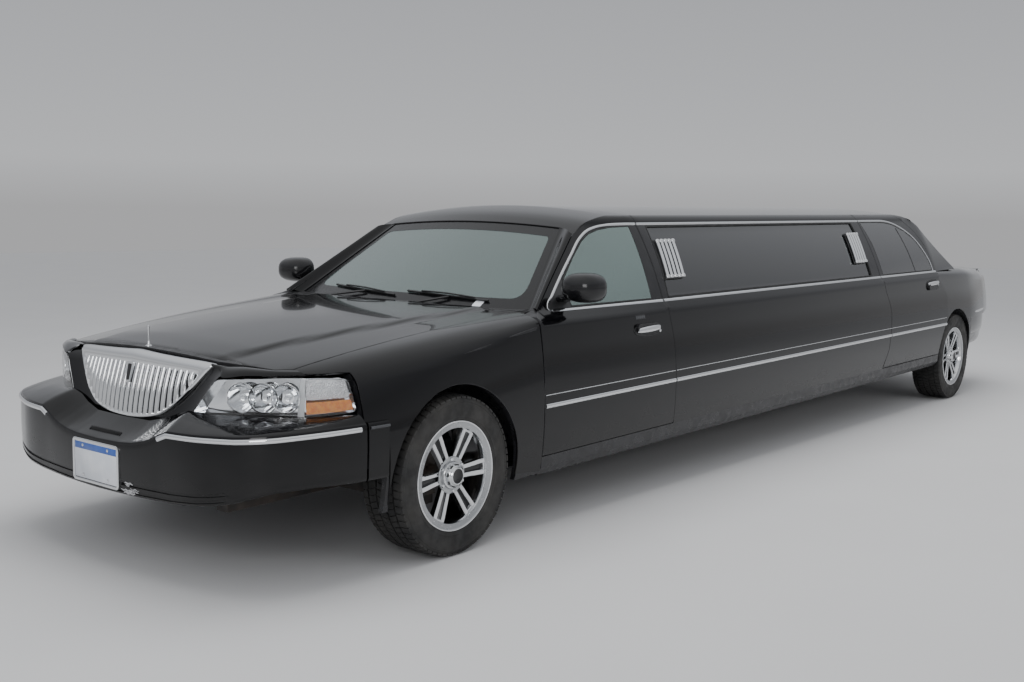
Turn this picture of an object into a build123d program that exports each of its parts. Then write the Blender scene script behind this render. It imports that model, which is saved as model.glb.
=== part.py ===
"""A stretch limousine as an assembly of separate pieces, in millimetres.

Every station x is measured rearward from the front axle, y to the car's right and z up from the ground.
Body heights are level heights: the car stands slightly nose down, so a body point at x is raised by
lift(x). Saving shifts every piece so that the origin is at the middle of the car, on the ground.
"""
from build123d import *
import os

os.makedirs("parts", exist_ok=True)

# ---------------------------------------------------------------- overall
WHEELBASE = 6038.0
FRONT_OVERHANG = 1085.0
REAR_OVERHANG = 1396.0
HALF_WIDTH = 995.0
RAKE = 0.010            # rise of the body per unit of length
RAKE_FROM = 1690.0      # station where level heights are true heights
GAP = 5.0               # shut line between panels
FIT = 0.3               # seat of a fixed piece on its neighbour
RUNNING = 0.05          # radial clearance of a shaft in its bore
REAR_AXLE = WHEELBASE
NOSE = -FRONT_OVERHANG
TAIL = REAR_AXLE + REAR_OVERHANG
MIDDLE = (NOSE + TAIL) / 2

# ---------------------------------------------------------------- body side, level heights
SILL_BOTTOM = 262.0
SILL_TOP = 351.0
LOW_Y = HALF_WIDTH - 10
WIDEST = 620.0
SHOULDER = 968.0        # top of the barrelled side
SHOULDER_Y = 958.0
BELT = 1003.0           # foot of the side windows
BELT_Y = 925.0
RAIL = 1393.0           # top of the side windows
RAIL_Y = 742.0
ROOF_SEAM = 1441.0      # seam between the sides and the roof panel
SEAM_Y = 704.0
ROOF_TOP = 1490.0
TAPER_BELT = 41.0       # how far the belt draws in towards the front of the front door
TAPER_RAIL = 167.0
GLASS_BOW = 15.0        # bulge of the side windows
INNER_Y = 872.0         # inner face of doors and side walls
FRAME_DEPTH = 40.0      # depth of window frames, pillars and roof
SKIN = 28.0             # wall of fenders, hood and lids
GLASS = 5.0
GLASS_INSET = 8.0       # side glass lies this far inside the body surface
SKIN_EDGE = 12.0        # outer skin of an opening edge, ahead of its rebate

# ---------------------------------------------------------------- doors
DOOR_FRONT = 570.0      # front door's leading edge
DOOR_REAR = 1697.0      # its trailing edge low down
DOOR_REAR_TOP = 1651.0
REAR_DOOR_FRONT = REAR_AXLE - 1391.0
REAR_DOOR_FRONT_TOP = REAR_AXLE - 1504.0
REAR_DOOR_REAR = REAR_AXLE - 238.0
REAR_HINGE_X = REAR_AXLE - 1486.0
REAR_HINGE_Y = HALF_WIDTH - 17
REAR_PIN = 4.0
FRONT_PIN = GAP / 2 - FIT
FRONT_HINGE_X = DOOR_FRONT - GAP / 2
FRONT_HINGE_Y = HALF_WIDTH - GAP / 2
FRONT_PIN_LOW = 580.0
FRONT_PIN_HIGH = 690.0
PIN_REACH = 20.0        # how far the rear door's pivot enters the sill
PIVOT_ROOM = 21.0       # radius kept free about that pivot, for the door's front corner

# ---------------------------------------------------------------- screens
SCREEN_FOOT = 598.0     # windscreen on the centre line
SCREEN_FOOT_Z = 1008.0
SCREEN_HEAD = 1157.0
SCREEN_HEAD_Z = 1385.0
SCREEN_BOW = 6000.0     # twice its radius in plan
SCREEN_FOOT_Y = 812.0
SCREEN_HEAD_Y = 628.0
BACK_FOOT = REAR_AXLE + 260.0
BACK_FOOT_Z = 1036.0
BACK_HEAD = REAR_AXLE - 450.0
BACK_HEAD_Z = 1430.0
BACK_BOW = 5200.0
BACK_FOOT_Y = 720.0
BACK_HEAD_Y = 620.0
SCREEN_GLASS = 6.0
FRONT_RISE = ((SCREEN_HEAD - 7, SCREEN_HEAD_Z + 3), (SCREEN_HEAD + 333, ROOF_TOP))    # roof line over each
REAR_RISE = ((BACK_HEAD + 12, BACK_HEAD_Z - 3), (BACK_HEAD - 258, ROOF_TOP))          # screen's head

# ---------------------------------------------------------------- wheels
TYRE_RADIUS = 343.0
TYRE_WIDTH = 225.0
TRACK = 1732.0
RIM_LIP = 235.0
RIM_WIDTH = 212.0
RIM_SEAT = 222.0
RIM_BARREL = 208.0      # inner radius of the rim
DISC_RECESS = 26.0      # wheel disc inside the rim's outer lip
HUB_RADIUS = 70.0
SPINDLE = 30.0
KINGPIN_Y = 790.0
KINGPIN = 12.0
ARCH_RADIUS = 388.0
LINER_RADIUS = 430.0
WHEEL_Y = TRACK / 2
AXLE_Z = TYRE_RADIUS
SPOKES = 6

# ---------------------------------------------------------------- nose and tail
HOOD_HALF = 768.0
HOOD_REAR = 600.0       # rear corners of the hood, where it is hinged
HOOD_BOW = 50.0         # how far its rear edge curves forward in the middle
HOOD_BOW_Y = 670.0
LID_HALF = 735.0
LID_FRONT = REAR_AXLE + 300.0
BUMPER_TOP = 636.0
BUMPER_BOTTOM = 345.0
GRILLE_HALF = 452.0
LAMP_FOOT = 676.0
LAMP_END = -517.0       # outer rear end of the headlamp
RADIATOR_X = -800.0
PLATE_WIDTH = 305.0
PLATE_HEIGHT = 152.0
PLATE_HOLE = 3.5
PLATE_HOLES = (177.8, 120.65)


def lift(x):
    """How much the rake raises the body at station x."""
    return RAKE * (x - RAKE_FROM)


def section(x):
    """Places (y, level height) in the cross plane at x."""
    return lambda p: Vector(x, p[0], p[1] + lift(x))


def side(y):
    """Places (x, level height) in the upright plane at y."""
    return lambda p: Vector(p[0], y, p[1] + lift(p[0]))


def plan(z):
    """Places (x, y) in the level plane at z."""
    return lambda p: Vector(p[0], p[1], z)


def face(points, place):
    """A flat face. A point with a third item is the middle of an arc between its neighbours."""
    ring = list(points) + [points[0]]
    edges = []
    i = 0
    while i < len(ring) - 1:
        if len(ring[i + 1]) == 3:
            edges.append(Edge.make_three_point_arc(*(place(p) for p in ring[i:i + 3])))
            i += 2
        else:
            edges.append(Edge.make_line(place(ring[i]), place(ring[i + 1])))
            i += 1
    return Face(Wire(edges))


def along(points, x0, x1):
    """A cross section carried from x0 to x1, rising with the rake."""
    return Solid.extrude(face(points, section(x0)), Vector(x1 - x0, 0, lift(x1) - lift(x0)))


def across(points, y0, y1):
    """A side outline carried from y0 to y1."""
    return Solid.extrude(face(points, side(y0)), Vector(0, y1 - y0, 0))


def upright(points, z0, z1):
    """A plan outline carried from z0 to z1."""
    return Solid.extrude(face(points, plan(z0)), Vector(0, 0, z1 - z0))


def loft_along(stations):
    """A straight-ruled body through cross sections, given as (x, points)."""
    return Solid.make_loft([face(points, section(x)).outer_wire() for x, points in stations], True)


def block(x0, x1, y0, y1, z0, z1):
    return Pos((x0 + x1) / 2, (y0 + y1) / 2, (z0 + z1) / 2) * Box(x1 - x0, y1 - y0, z1 - z0)


def raised(x0, x1, y0, y1, z0, z1):
    """A block given in level heights."""
    up = lift((x0 + x1) / 2)
    return block(x0, x1, y0, y1, z0 + up, z1 + up)


def rod(x, y0, y1, z, radius):
    """A round bar across the car."""
    return Pos(x, (y0 + y1) / 2, z) * Rot(90, 0, 0) * Cylinder(radius, abs(y1 - y0))


def post(x, y, z0, z1, radius):
    """An upright round bar."""
    return Pos(x, y, (z0 + z1) / 2) * Cylinder(radius, z1 - z0)


def bar(start, end, radius):
    """A round bar between two points."""
    a, b = Vector(*start), Vector(*end)
    return Plane(origin=(a + b) / 2, z_dir=b - a) * Cylinder(radius, (b - a).length)


def other_side(shape):
    return mirror(shape, about=Plane.XZ)


def group(*shapes):
    return Compound(children=[s for shape in shapes for s in shape.solids()])


def both(*shapes):
    """The shapes and their mirror images, as separate solids."""
    return group(*shapes, *(other_side(shape) for shape in shapes))


def save(name, shape):
    export_step(Pos(-MIDDLE, 0, 0) * group(shape), f"parts/{name}.step")


def grown(points, by):
    """An outline with every side moved outward."""
    n = len(points)
    area = sum(points[i][0] * points[(i + 1) % n][1] - points[(i + 1) % n][0] * points[i][1] for i in range(n))
    turn = 1 if area > 0 else -1
    out = []
    for i in range(n):
        (x0, z0), (x1, z1), (x2, z2) = points[i - 1][:2], points[i][:2], points[(i + 1) % n][:2]
        before, after = Vector(x1 - x0, z1 - z0).normalized(), Vector(x2 - x1, z2 - z1).normalized()
        n0, n1 = Vector(before.Y, -before.X) * turn, Vector(after.Y, -after.X) * turn
        shift = (n0 + n1) * (by / (1 + n0.dot(n1)))
        out.append((x1 + shift.X, z1 + shift.Y) + tuple(points[i][2:]))
    return out


def cutter(points, by=0.0):
    """A side outline, grown by a clearance, as a block through the right side of the body."""
    return across(grown(points, by), 520, 1150)


# ---------------------------------------------------------------- side walls
def draw_in(x):
    """Share of the full taper at x: none at the front door's rear edge, all at its leading edge."""
    return (DOOR_REAR_TOP - x) / (DOOR_REAR_TOP - DOOR_FRONT)


def outer_side(z0, inset=0.0, t=0.0):
    """The body side from level height z0 up to the roof seam, moved inward by inset."""
    belt, rail, seam = BELT_Y - TAPER_BELT * t, RAIL_Y - TAPER_RAIL * t, SEAM_Y - TAPER_RAIL * t
    return [(LOW_Y - inset, z0), (HALF_WIDTH - inset, WIDEST, "via"), (SHOULDER_Y - inset, SHOULDER),
            (belt - inset, BELT), ((belt + rail) / 2 + GLASS_BOW - inset, (BELT + RAIL) / 2, "via"),
            (rail - inset, RAIL), ((rail + seam) / 2 + 7 - inset, (RAIL + ROOF_SEAM) / 2 + 4, "via"),
            (seam - inset, ROOF_SEAM)]


def wall_section(z0, t=0.0, room=0.0):
    """Closed section of a door or side wall: thick below the belt, as deep as its frame above. With
    room it is the space that a door takes up, clear of its inner face and of its top edge by so much."""
    belt, rail, seam = BELT_Y - TAPER_BELT * t, RAIL_Y - TAPER_RAIL * t, SEAM_Y - TAPER_RAIL * t
    deep = FRAME_DEPTH + room
    edge = [(seam - room * 0.78, ROOF_SEAM + room * 0.62)] if room else []
    top = (seam - FRAME_DEPTH + 8 - room * 0.78, ROOF_SEAM - FRAME_DEPTH + room * 0.62)
    inner = [top, (rail - deep, RAIL - FRAME_DEPTH / 2),
             ((belt + rail) / 2 + GLASS_BOW - deep, (BELT + RAIL) / 2, "via"), (belt - deep, BELT),
             (INNER_Y - room - TAPER_BELT * t, BELT - 30), (INNER_Y - room, BELT - 120), (INNER_Y - room, z0)]
    return outer_side(z0, 0.0, t) + edge + inner


def glass_section(t=0.0):
    """Side glass from just under the belt to just over the rail."""
    belt, rail = BELT_Y - TAPER_BELT * t, RAIL_Y - TAPER_RAIL * t
    lean, reach, middle = (belt - rail) / (RAIL - BELT), 8.0, (belt + rail) / 2 + GLASS_BOW - GLASS_INSET
    foot, head = belt + reach * lean - GLASS_INSET, rail - reach * lean - GLASS_INSET
    return [(foot, BELT - reach), (middle, (BELT + RAIL) / 2, "via"), (head, RAIL + reach),
            (head - GLASS, RAIL + reach), (middle - GLASS, (BELT + RAIL) / 2, "via"), (foot - GLASS, BELT - reach)]


def rebate_section(z0, t=0.0):
    """All that lies behind the outer skin of a side."""
    return outer_side(z0 - 10, SKIN_EDGE, t) + [(480, ROOF_SEAM + 30), (480, z0 - 10)]


def tapered(maker, x0, x1):
    """A side section carried through the front door, where the upper body draws in."""
    return loft_along([(x0, maker(draw_in(x0))), (x1, maker(draw_in(x1)))])


FRONT_DOOR = [
    (DOOR_FRONT, SILL_TOP + GAP), (DOOR_FRONT, 955), (DOOR_FRONT + 14, 984), (642, 1006),
    (1153, 1344), (1291, 1407), (1395, 1430), (1480, ROOF_SEAM), (DOOR_REAR_TOP, ROOF_SEAM),
    (DOOR_REAR_TOP, BELT), (DOOR_REAR_TOP + 12, 920), (DOOR_REAR - 10, 775), (DOOR_REAR, 600),
    (DOOR_REAR, SILL_TOP + GAP)]
FRONT_WINDOW = [(885, BELT + 12), (915, 1088), (1196, 1289), (1290, 1336), (1400, 1362),
                (1588, RAIL - 17), (1553, BELT + 12)]
REAR_DOOR = [
    (REAR_HINGE_X - 17, SILL_TOP + GAP), (REAR_DOOR_FRONT - 30, 478), (REAR_DOOR_FRONT - 8, 600),
    (REAR_DOOR_FRONT, 742), (REAR_DOOR_FRONT - 19, 801), (REAR_DOOR_FRONT - 75, 900), (REAR_DOOR_FRONT - 95, BELT),
    (REAR_DOOR_FRONT_TOP, RAIL), (REAR_DOOR_FRONT_TOP - 36, ROOF_SEAM), (REAR_AXLE - 815, ROOF_SEAM),
    (REAR_AXLE - 660, 1392), (REAR_AXLE - 530, 1310), (REAR_AXLE - 440, 1200), (REAR_AXLE - 383, BELT),
    (REAR_AXLE - 398, 945), (REAR_AXLE - 317, 878), (REAR_DOOR_REAR - 15, 818), (REAR_DOOR_REAR, 770),
    (REAR_DOOR_REAR - 26, 690), (REAR_DOOR_REAR - 26, SILL_TOP + GAP)]
REAR_WINDOW = [(REAR_AXLE - 1419, BELT + 12), (REAR_AXLE - 1431, 1233), (REAR_AXLE - 1475, RAIL - 17),
               (REAR_AXLE - 1050, RAIL - 22), (REAR_AXLE - 865, 1338), (REAR_AXLE - 700, 1285),
               (REAR_AXLE - 560, 1190), (REAR_AXLE - 486, BELT + 12)]
STRETCH_WINDOW = [(1716, BELT + 12), (1741, RAIL - 9), (REAR_AXLE - 1640, RAIL - 9), (REAR_AXLE - 1630, BELT + 12)]
FRONT_HANDLE = (DOOR_REAR - 265, 880)
REAR_HANDLE = (REAR_AXLE - 560, 890)


def handle_boss(place):
    """A raised oval pull that stands out of the door skin."""
    x, z = place
    bow = HALF_WIDTH - 5 - (z - WIDEST) * 0.06
    boss = Pos(x, bow - 18, z + lift(x)) * Box(190, 62, 44)
    return fillet(boss.edges().filter_by(Axis.Y), 20)


def arch(x, radius, y0, y1):
    """A round bar about the axle at x, for cutting a wheel's place."""
    return rod(x, y0, y1, AXLE_Z, radius)


def front_door():
    door = tapered(lambda t: wall_section(SILL_TOP + GAP, t), DOOR_FRONT, DOOR_REAR) & cutter(FRONT_DOOR)
    behind = [(DOOR_REAR_TOP - 22, ROOF_SEAM + 20), (DOOR_REAR_TOP - 22, BELT), (DOOR_REAR_TOP - 10, 920),
              (DOOR_REAR - 32, 775), (DOOR_REAR - 22, 600), (DOOR_REAR - 22, SILL_TOP),
              (DOOR_REAR + 20, SILL_TOP), (DOOR_REAR + 20, ROOF_SEAM + 20)]
    jamb = tapered(lambda t: rebate_section(SILL_TOP, t), DOOR_REAR_TOP - 60, DOOR_REAR + 2) & cutter(behind)
    door = door - jamb - cutter(FRONT_WINDOW)
    up = lift(FRONT_HINGE_X)
    pin = post(FRONT_HINGE_X, FRONT_HINGE_Y, FRONT_PIN_LOW + up, FRONT_PIN_HIGH + up, FRONT_PIN)
    web = block(FRONT_HINGE_X, DOOR_FRONT + 4, FRONT_HINGE_Y - FRONT_PIN, FRONT_HINGE_Y,
                FRONT_PIN_LOW + up, FRONT_PIN_HIGH + up)
    return door + handle_boss(FRONT_HANDLE) + pin + web


def rear_door():
    door = along(wall_section(SILL_TOP + GAP), REAR_DOOR_FRONT_TOP - 40, REAR_AXLE) & cutter(REAR_DOOR)
    door = door - arch(REAR_AXLE, ARCH_RADIUS + GAP, 520, 1150)
    behind = [(REAR_AXLE - 900, ROOF_SEAM + 40), (REAR_AXLE - 860, ROOF_SEAM - 12), (REAR_AXLE - 692, 1368),
              (REAR_AXLE - 566, 1290), (REAR_AXLE - 476, 1190), (REAR_AXLE - 420, BELT - 5),
              (REAR_AXLE - 436, 930), (REAR_AXLE - 350, 858), (REAR_DOOR_REAR - 48, 800),
              (REAR_DOOR_REAR - 32, 765), (REAR_DOOR_REAR - 60, 680), (REAR_AXLE + 10, 640), (REAR_AXLE + 10, ROOF_SEAM + 40)]
    jamb = along(rebate_section(SILL_TOP), REAR_AXLE - 950, REAR_AXLE + 2)
    door = door - (jamb & cutter(behind)) - (jamb & arch(REAR_AXLE, ARCH_RADIUS + 32, 520, 1150)) - cutter(REAR_WINDOW)
    up = lift(REAR_HINGE_X)
    pin = post(REAR_HINGE_X, REAR_HINGE_Y, SILL_TOP - PIN_REACH + up, SILL_TOP + PIN_REACH + up, REAR_PIN)
    return door + handle_boss(REAR_HANDLE) + pin


def front_door_room():
    """The space of the right front door with its shut lines."""
    x0, x1 = DOOR_FRONT - 2 * GAP, DOOR_REAR + 2 * GAP
    return tapered(lambda t: wall_section(SILL_TOP, t, GAP), x0, x1) & cutter(FRONT_DOOR, GAP)


def rear_door_room():
    """The space of the right rear door with its shut lines."""
    return along(wall_section(SILL_TOP, 0.0, GAP), REAR_DOOR_FRONT_TOP - 60, REAR_AXLE) & cutter(REAR_DOOR, GAP)


def pane(window, solid):
    return solid & cutter(window, -FIT)


def mirror_housing():
    """Outside mirror: a rounded shell on an arm that springs from the front corner of the window."""
    up = lift(800)
    shell = Pos(800, 1010, 1112 + up) * Box(90, 210, 150)
    shell = fillet(shell.edges(), 38)
    arm = upright([(800, 862), (890, 840), (838, 960), (790, 960)], 1040 + up, 1085 + up)
    return shell + arm


def stretch_side():
    """One side of the stretched body: sill, both pillars and the panel between the doors."""
    wall = along(wall_section(SILL_TOP), DOOR_REAR_TOP + GAP, REAR_DOOR_FRONT) - cutter(FRONT_DOOR, GAP) \
        - cutter(REAR_DOOR, GAP) - cutter(STRETCH_WINDOW)
    sill_front = DOOR_FRONT - GAP + FIT
    low = [(LOW_Y - 30, SILL_BOTTOM), (LOW_Y - 4, SILL_BOTTOM + 36), (LOW_Y, SILL_TOP), (INNER_Y - 20, SILL_TOP),
           (INNER_Y - 20, SILL_BOTTOM)]
    sill = along(low, sill_front, REAR_AXLE - 300) - arch(REAR_AXLE, ARCH_RADIUS, 520, 1150)
    up = lift(REAR_HINGE_X)
    bore = post(REAR_HINGE_X, REAR_HINGE_Y, SILL_TOP - PIN_REACH - 2 + up, SILL_TOP + 5 + up, REAR_PIN + RUNNING)
    swing = post(REAR_HINGE_X, REAR_HINGE_Y, SILL_TOP + up, SILL_TOP + 60 + up, PIVOT_ROOM)
    return (wall - swing) + sill - bore


# ---------------------------------------------------------------- roof and screens
def screen(foot, foot_z, head, head_z, bow, foot_y, head_y, out, thick, sign, over=60.0):
    """A screen bowed in plan and carried up its slope, from out in front of its surface, thick deep."""
    wide, lean = 900.0, (head - foot) / (head_z - foot_z)
    low, high = foot_z - 60, head_z + over
    x0 = foot - 60 * lean

    def edge(shift):
        ends = x0 + sign * wide * wide / bow + shift
        return [(ends, -wide), (x0 + shift, 0, "via"), (ends, wide)]

    front, back = edge(-sign * out), edge(sign * (thick - out))
    ring = front + back[::-1]
    flat = face(ring, plan(low + lift(foot)))
    return Solid.extrude(flat, Vector((high - low) * lean, 0, high - low))


def front_view(points, x0, x1):
    """An outline (y, true z) seen from the front, carried through x0 to x1."""
    return Solid.extrude(face(points, lambda p: Vector(x0, p[0], p[1])), Vector(x1 - x0, 0, 0))


def trapezoid(foot_y, foot_z, head_y, head_z, by=0.0):
    """Front view of a screen, grown by a clearance."""
    return [(-foot_y - by, foot_z - by), (foot_y + by, foot_z - by), (head_y + by, head_z + by),
            (-head_y - by, head_z + by)]


WINDSCREEN = (SCREEN_FOOT, SCREEN_FOOT_Z, SCREEN_HEAD, SCREEN_HEAD_Z, SCREEN_BOW, SCREEN_FOOT_Y, SCREEN_HEAD_Y)
BACKLIGHT = (BACK_FOOT, BACK_FOOT_Z, BACK_HEAD, BACK_HEAD_Z, BACK_BOW, BACK_FOOT_Y, BACK_HEAD_Y)


def glass_of(spec, sign, x0, x1):
    foot, foot_z, head, head_z, bow, foot_y, head_y = spec
    up = lift(foot)
    solid = screen(*spec, -2.0, SCREEN_GLASS, sign)
    return solid & front_view(trapezoid(foot_y, foot_z + up, head_y, head_z + up, -FIT), x0, x1)


def opening_of(spec, x0, x1):
    foot, foot_z, head, head_z, bow, foot_y, head_y = spec
    up = lift(foot)
    return front_view(trapezoid(foot_y, foot_z + up, head_y, head_z + up), x0, x1)


def cabin_section(t=0.0, inset=0.0, foot=BELT - 60):
    """The whole upper body in section, side to side, with the roof's crown."""
    belt, rail, seam = BELT_Y - TAPER_BELT * t, RAIL_Y - TAPER_RAIL * t, SEAM_Y - TAPER_RAIL * t
    right = [(belt - inset, foot), (belt - inset, BELT), ((belt + rail) / 2 + GLASS_BOW - inset, (BELT + RAIL) / 2, "via"),
             (rail - inset, RAIL - inset / 2), ((rail + seam) / 2 + 7 - inset, (RAIL + ROOF_SEAM) / 2 + 4 - inset, "via"),
             (seam - inset, ROOF_SEAM - inset)]
    left = [(-p[0],) + tuple(p[1:]) for p in reversed(right)]
    return right + [(0, ROOF_TOP - inset, "via")] + left


def over(rise, inset):
    """The room above the roof where it slopes down to a screen."""
    (x0, z0), (x1, z1) = rise
    slope = (z1 - z0) / (x1 - x0)
    a, b = x0 - (x1 - x0) / 3, x1 + (x1 - x0) / 3
    return across([(a, z0 + (a - x0) * slope - inset), (b, z0 + (b - x0) * slope - inset), (b, 1700), (a, 1700)],
                  -900, 900)


def cabin(inset):
    """The upper body as one block, tapered ahead of the front door's rear edge and behind the rear door."""
    ahead = loft_along([(DOOR_FRONT - 60, cabin_section(draw_in(DOOR_FRONT - 60), inset)),
                        (DOOR_REAR_TOP, cabin_section(0.0, inset))])
    middle = along(cabin_section(0.0, inset), DOOR_REAR_TOP, REAR_AXLE - 400)
    behind = loft_along([(REAR_AXLE - 400, cabin_section(0.0, inset)), (REAR_AXLE + 300, cabin_section(0.85, inset))])
    front, rear = over(FRONT_RISE, inset), over(REAR_RISE, inset)
    return ahead - front, middle - rear, behind - rear


def roof():
    """Roof panel with the windscreen pillars, the rear pillars and the surrounds of both screens."""
    outer, inner = cabin(0.0), cabin(FRAME_DEPTH)
    shell = (outer[0] - inner[0]) + (outer[1] - inner[1]) + (outer[2] - inner[2])
    shell = shell - screen(*WINDSCREEN, 1100.0, 1100.0, 1, 200.0) - screen(*BACKLIGHT, 1200.0, 1200.0, -1, 200.0)
    frame_front = outer[0] & screen(*WINDSCREEN, 0.0, FRAME_DEPTH, 1, 200.0)
    frame_rear = outer[2] & screen(*BACKLIGHT, 0.0, FRAME_DEPTH, -1, 200.0)
    shell = shell + frame_front + frame_rear
    shell = shell - opening_of(WINDSCREEN, 300, 1300) - opening_of(BACKLIGHT, 5400, 6900)
    below = [(DOOR_FRONT - 200, 900), (DOOR_FRONT - 200, BELT - 2), (BACK_FOOT + 400, BELT - 2), (BACK_FOOT + 400, 900)]
    between = [(DOOR_REAR_TOP + GAP, BELT - 40), (DOOR_REAR_TOP + GAP, ROOF_SEAM),
               (REAR_DOOR_FRONT, ROOF_SEAM), (REAR_DOOR_FRONT, BELT - 40)]
    wall = along(wall_section(SILL_TOP), DOOR_REAR_TOP - 60, REAR_DOOR_FRONT + 60) & cutter(between)
    shell = shell - across(below, -1150, 1150) - hull(NOSE_STATIONS)
    for cut in (front_door_room(), rear_door_room(), wall):
        shell = shell - cut - other_side(cut)
    return shell


# ---------------------------------------------------------------- nose and tail shells
# station x, side foot y, widest y, shoulder (y, z), edge (y, z), lid edge z, crown z
NOSE_STATIONS = [
    (HOOD_REAR + 40, LOW_Y, HALF_WIDTH, (SHOULDER_Y, 960), (888, 994), 999, 1006),
    (-100.0, LOW_Y - 2, HALF_WIDTH - 2, (955, 845), (885, 912), 939, 966),
    (-600.0, LOW_Y - 55, HALF_WIDTH - 50, (905, 775), (845, 840), 880, 925),
    (-900.0, LOW_Y - 160, HALF_WIDTH - 160, (800, 720), (740, 800), 830, 892)]
TAIL_STATIONS = [
    (REAR_AXLE - 460, LOW_Y, HALF_WIDTH, (SHOULDER_Y, SHOULDER), (BELT_Y, BELT), 1012, 1022),
    (REAR_AXLE + 320, LOW_Y - 15, HALF_WIDTH - 15, (935, 935), (868, 990), 1006, 1026),
    (REAR_AXLE + 900, LOW_Y - 95, HALF_WIDTH - 95, (862, 895), (800, 955), 975, 1005),
    (TAIL - 40, LOW_Y - 205, HALF_WIDTH - 205, (755, 870), (700, 935), 950, 975)]
HOOD_DROP = lift(-850)  # true height of the nose over its level height
TAIL_RISE = lift(TAIL - 100)
HULL_FOOT = SILL_BOTTOM + 14
TUCK = 9.0              # how much further the side draws in below the sill's top
FIREWALL = 445.0
FLOOR = 290.0
SHEET = 8.0
APRON_Y = 568.0
REAR_HOUSE_Y = 738.0
FLOOR_Y = INNER_Y - 20
HOUSE_WALL = 6.0
LID_FACE_FOOT = 760.0
COWL_Y = 824.0
HOOD_HINGE_Z = 996.0
HOOD_HINGE_X = HOOD_REAR + GAP / 2
LID_HINGE_X = LID_FRONT - GAP / 2
LID_HINGE_Z = 1023.0


def hull_section(row, inset=0.0, foot=HULL_FOOT):
    """Full section of the nose or tail, side to side, moved inward by inset."""
    x, low, wide, shoulder, edge, flat, crown = row
    right = [(low - TUCK - inset, foot), (wide - inset, WIDEST, "via"), (shoulder[0] - inset, shoulder[1] - inset / 3),
             (edge[0] - inset, edge[1] - inset), (HOOD_HALF - 60 - inset, flat - inset)]
    left = [(-p[0],) + tuple(p[1:]) for p in reversed(right)]
    return right + [(0, crown - inset, "via")] + left


def hull(stations, inset=0.0, foot=HULL_FOOT):
    return loft_along([(row[0], hull_section(row, inset, foot)) for row in stations])


def shell_of(stations):
    return hull(stations) - hull(stations, SKIN, HULL_FOOT - 20)


def hood_outline(by=0.0):
    """Plan of the hood, from its hinge line to the lamps and grille."""
    right = [(HOOD_REAR + by, HOOD_HALF + by), (-690 - by, HOOD_HALF - 22 + by), (-742 - by, 700 + by),
             (-822 - by, GRILLE_HALF + 8)]
    left = [(x, -y) for x, y in reversed(right)]
    rear = HOOD_REAR + by
    return right + [(-850 - by, 0, "via")] + left + [(rear, -HOOD_BOW_Y), (rear - HOOD_BOW, 0, "via"), (rear, HOOD_BOW_Y)]


def lid_outline(by=0.0):
    return [(LID_FRONT - by, -LID_HALF - by), (LID_FRONT - by, LID_HALF + by), (TAIL - 300, LID_HALF + by),
            (TAIL + 20, 640 + by), (TAIL + 20, -640 - by), (TAIL - 300, -LID_HALF - by)]


def hood(shell):
    """The lid over the engine, with hinge pins in the gap at its rear corners."""
    skin = shell & upright(hood_outline(), 700, 1100)
    z = HOOD_HINGE_Z + lift(HOOD_HINGE_X)
    for y0, y1 in ((690, 750), (-750, -690)):
        skin = skin + rod(HOOD_HINGE_X, y0, y1, z, FRONT_PIN) \
            + block(HOOD_REAR - 5, HOOD_HINGE_X, y0, y1, z - FRONT_PIN, z)
    return skin


def lid(shell):
    """The boot lid, turned down over the tail, with a hinge pin in the gap at its front."""
    up = lift(TAIL)
    skin = shell & upright(lid_outline(), 700, 1200)
    back = block(TAIL - 68, TAIL - 40, -600, 600, LID_FACE_FOOT + up, 945 + up)
    z = LID_HINGE_Z + lift(LID_HINGE_X)
    pin = rod(LID_HINGE_X, -60, 60, z, FRONT_PIN) + block(LID_HINGE_X, LID_FRONT + 5, -60, 60, z - FRONT_PIN, z)
    return skin + back + pin


def house(x, y0, y1, floor):
    """Half-round wheel house about the axle at x, with its inner wall."""
    outer = arch(x, LINER_RADIUS + HOUSE_WALL, y0, y1)
    ring = outer - arch(x, LINER_RADIUS, y0 + HOUSE_WALL, y1 + 10)
    return ring - block(x - 600, x + 600, 0, 1200, -400, floor)


def fender(shell):
    """Right front fender with its wheel house and apron."""
    whole = hull(NOSE_STATIONS)
    panel = (shell & block(NOSE - 50, DOOR_FRONT - GAP, 400, 1100, 200, 1100)) \
        - block(NOSE - 50, -600, 0, HOOD_HALF - 30, 400, 1100) - block(400, DOOR_FRONT, 0, HOOD_HALF + GAP, 850, 1100)
    corner = (shell & block(DOOR_FRONT - GAP, HOOD_REAR + 39, COWL_Y + 2, 950, 900, 1100)) - cutter(FRONT_DOOR, GAP)
    below = block(NOSE - 60, -405, 300, 1150, 100, BUMPER_TOP + HOOD_DROP)
    panel = panel + corner - upright(hood_outline(GAP), 600, 1200) - below
    liner = (house(0, APRON_Y, 975, AXLE_Z + 60) & whole) - front_bumper()
    apron = raised(-788, FIREWALL, APRON_Y, APRON_Y + HOUSE_WALL, 415, 890) & hull(NOSE_STATIONS, SKIN + 12)
    arms = block(-70, 70, 500, 700, 0, 530)
    lamp_room = block(NOSE - 50, LAMP_END + GAP, 600, 1150, BUMPER_TOP + HOOD_DROP - 5, LAMP_HEAD + HOOD_DROP + GAP)
    return panel - lamp_room - arch(0, ARCH_RADIUS, 700, 1150) + (liner - arms) + (apron - arms)


def cowl(shell):
    """Panel between the hood and the windscreen, with the plate that runs under the glass."""
    near, far, wide = 480, DOOR_FRONT - GAP, HOOD_HALF + GAP
    area = block(near, far, -wide, wide, 900, 1100) + block(far, HOOD_REAR + 38, -COWL_Y, COWL_Y, 900, 1100)
    front = (shell & area) - upright(hood_outline(GAP), 600, 1200)
    plate = along([(-COWL_Y, 965), (-COWL_Y, 1001), (COWL_Y, 1001), (COWL_Y, 965)], HOOD_REAR + 38, 800)
    return front + plate


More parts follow.
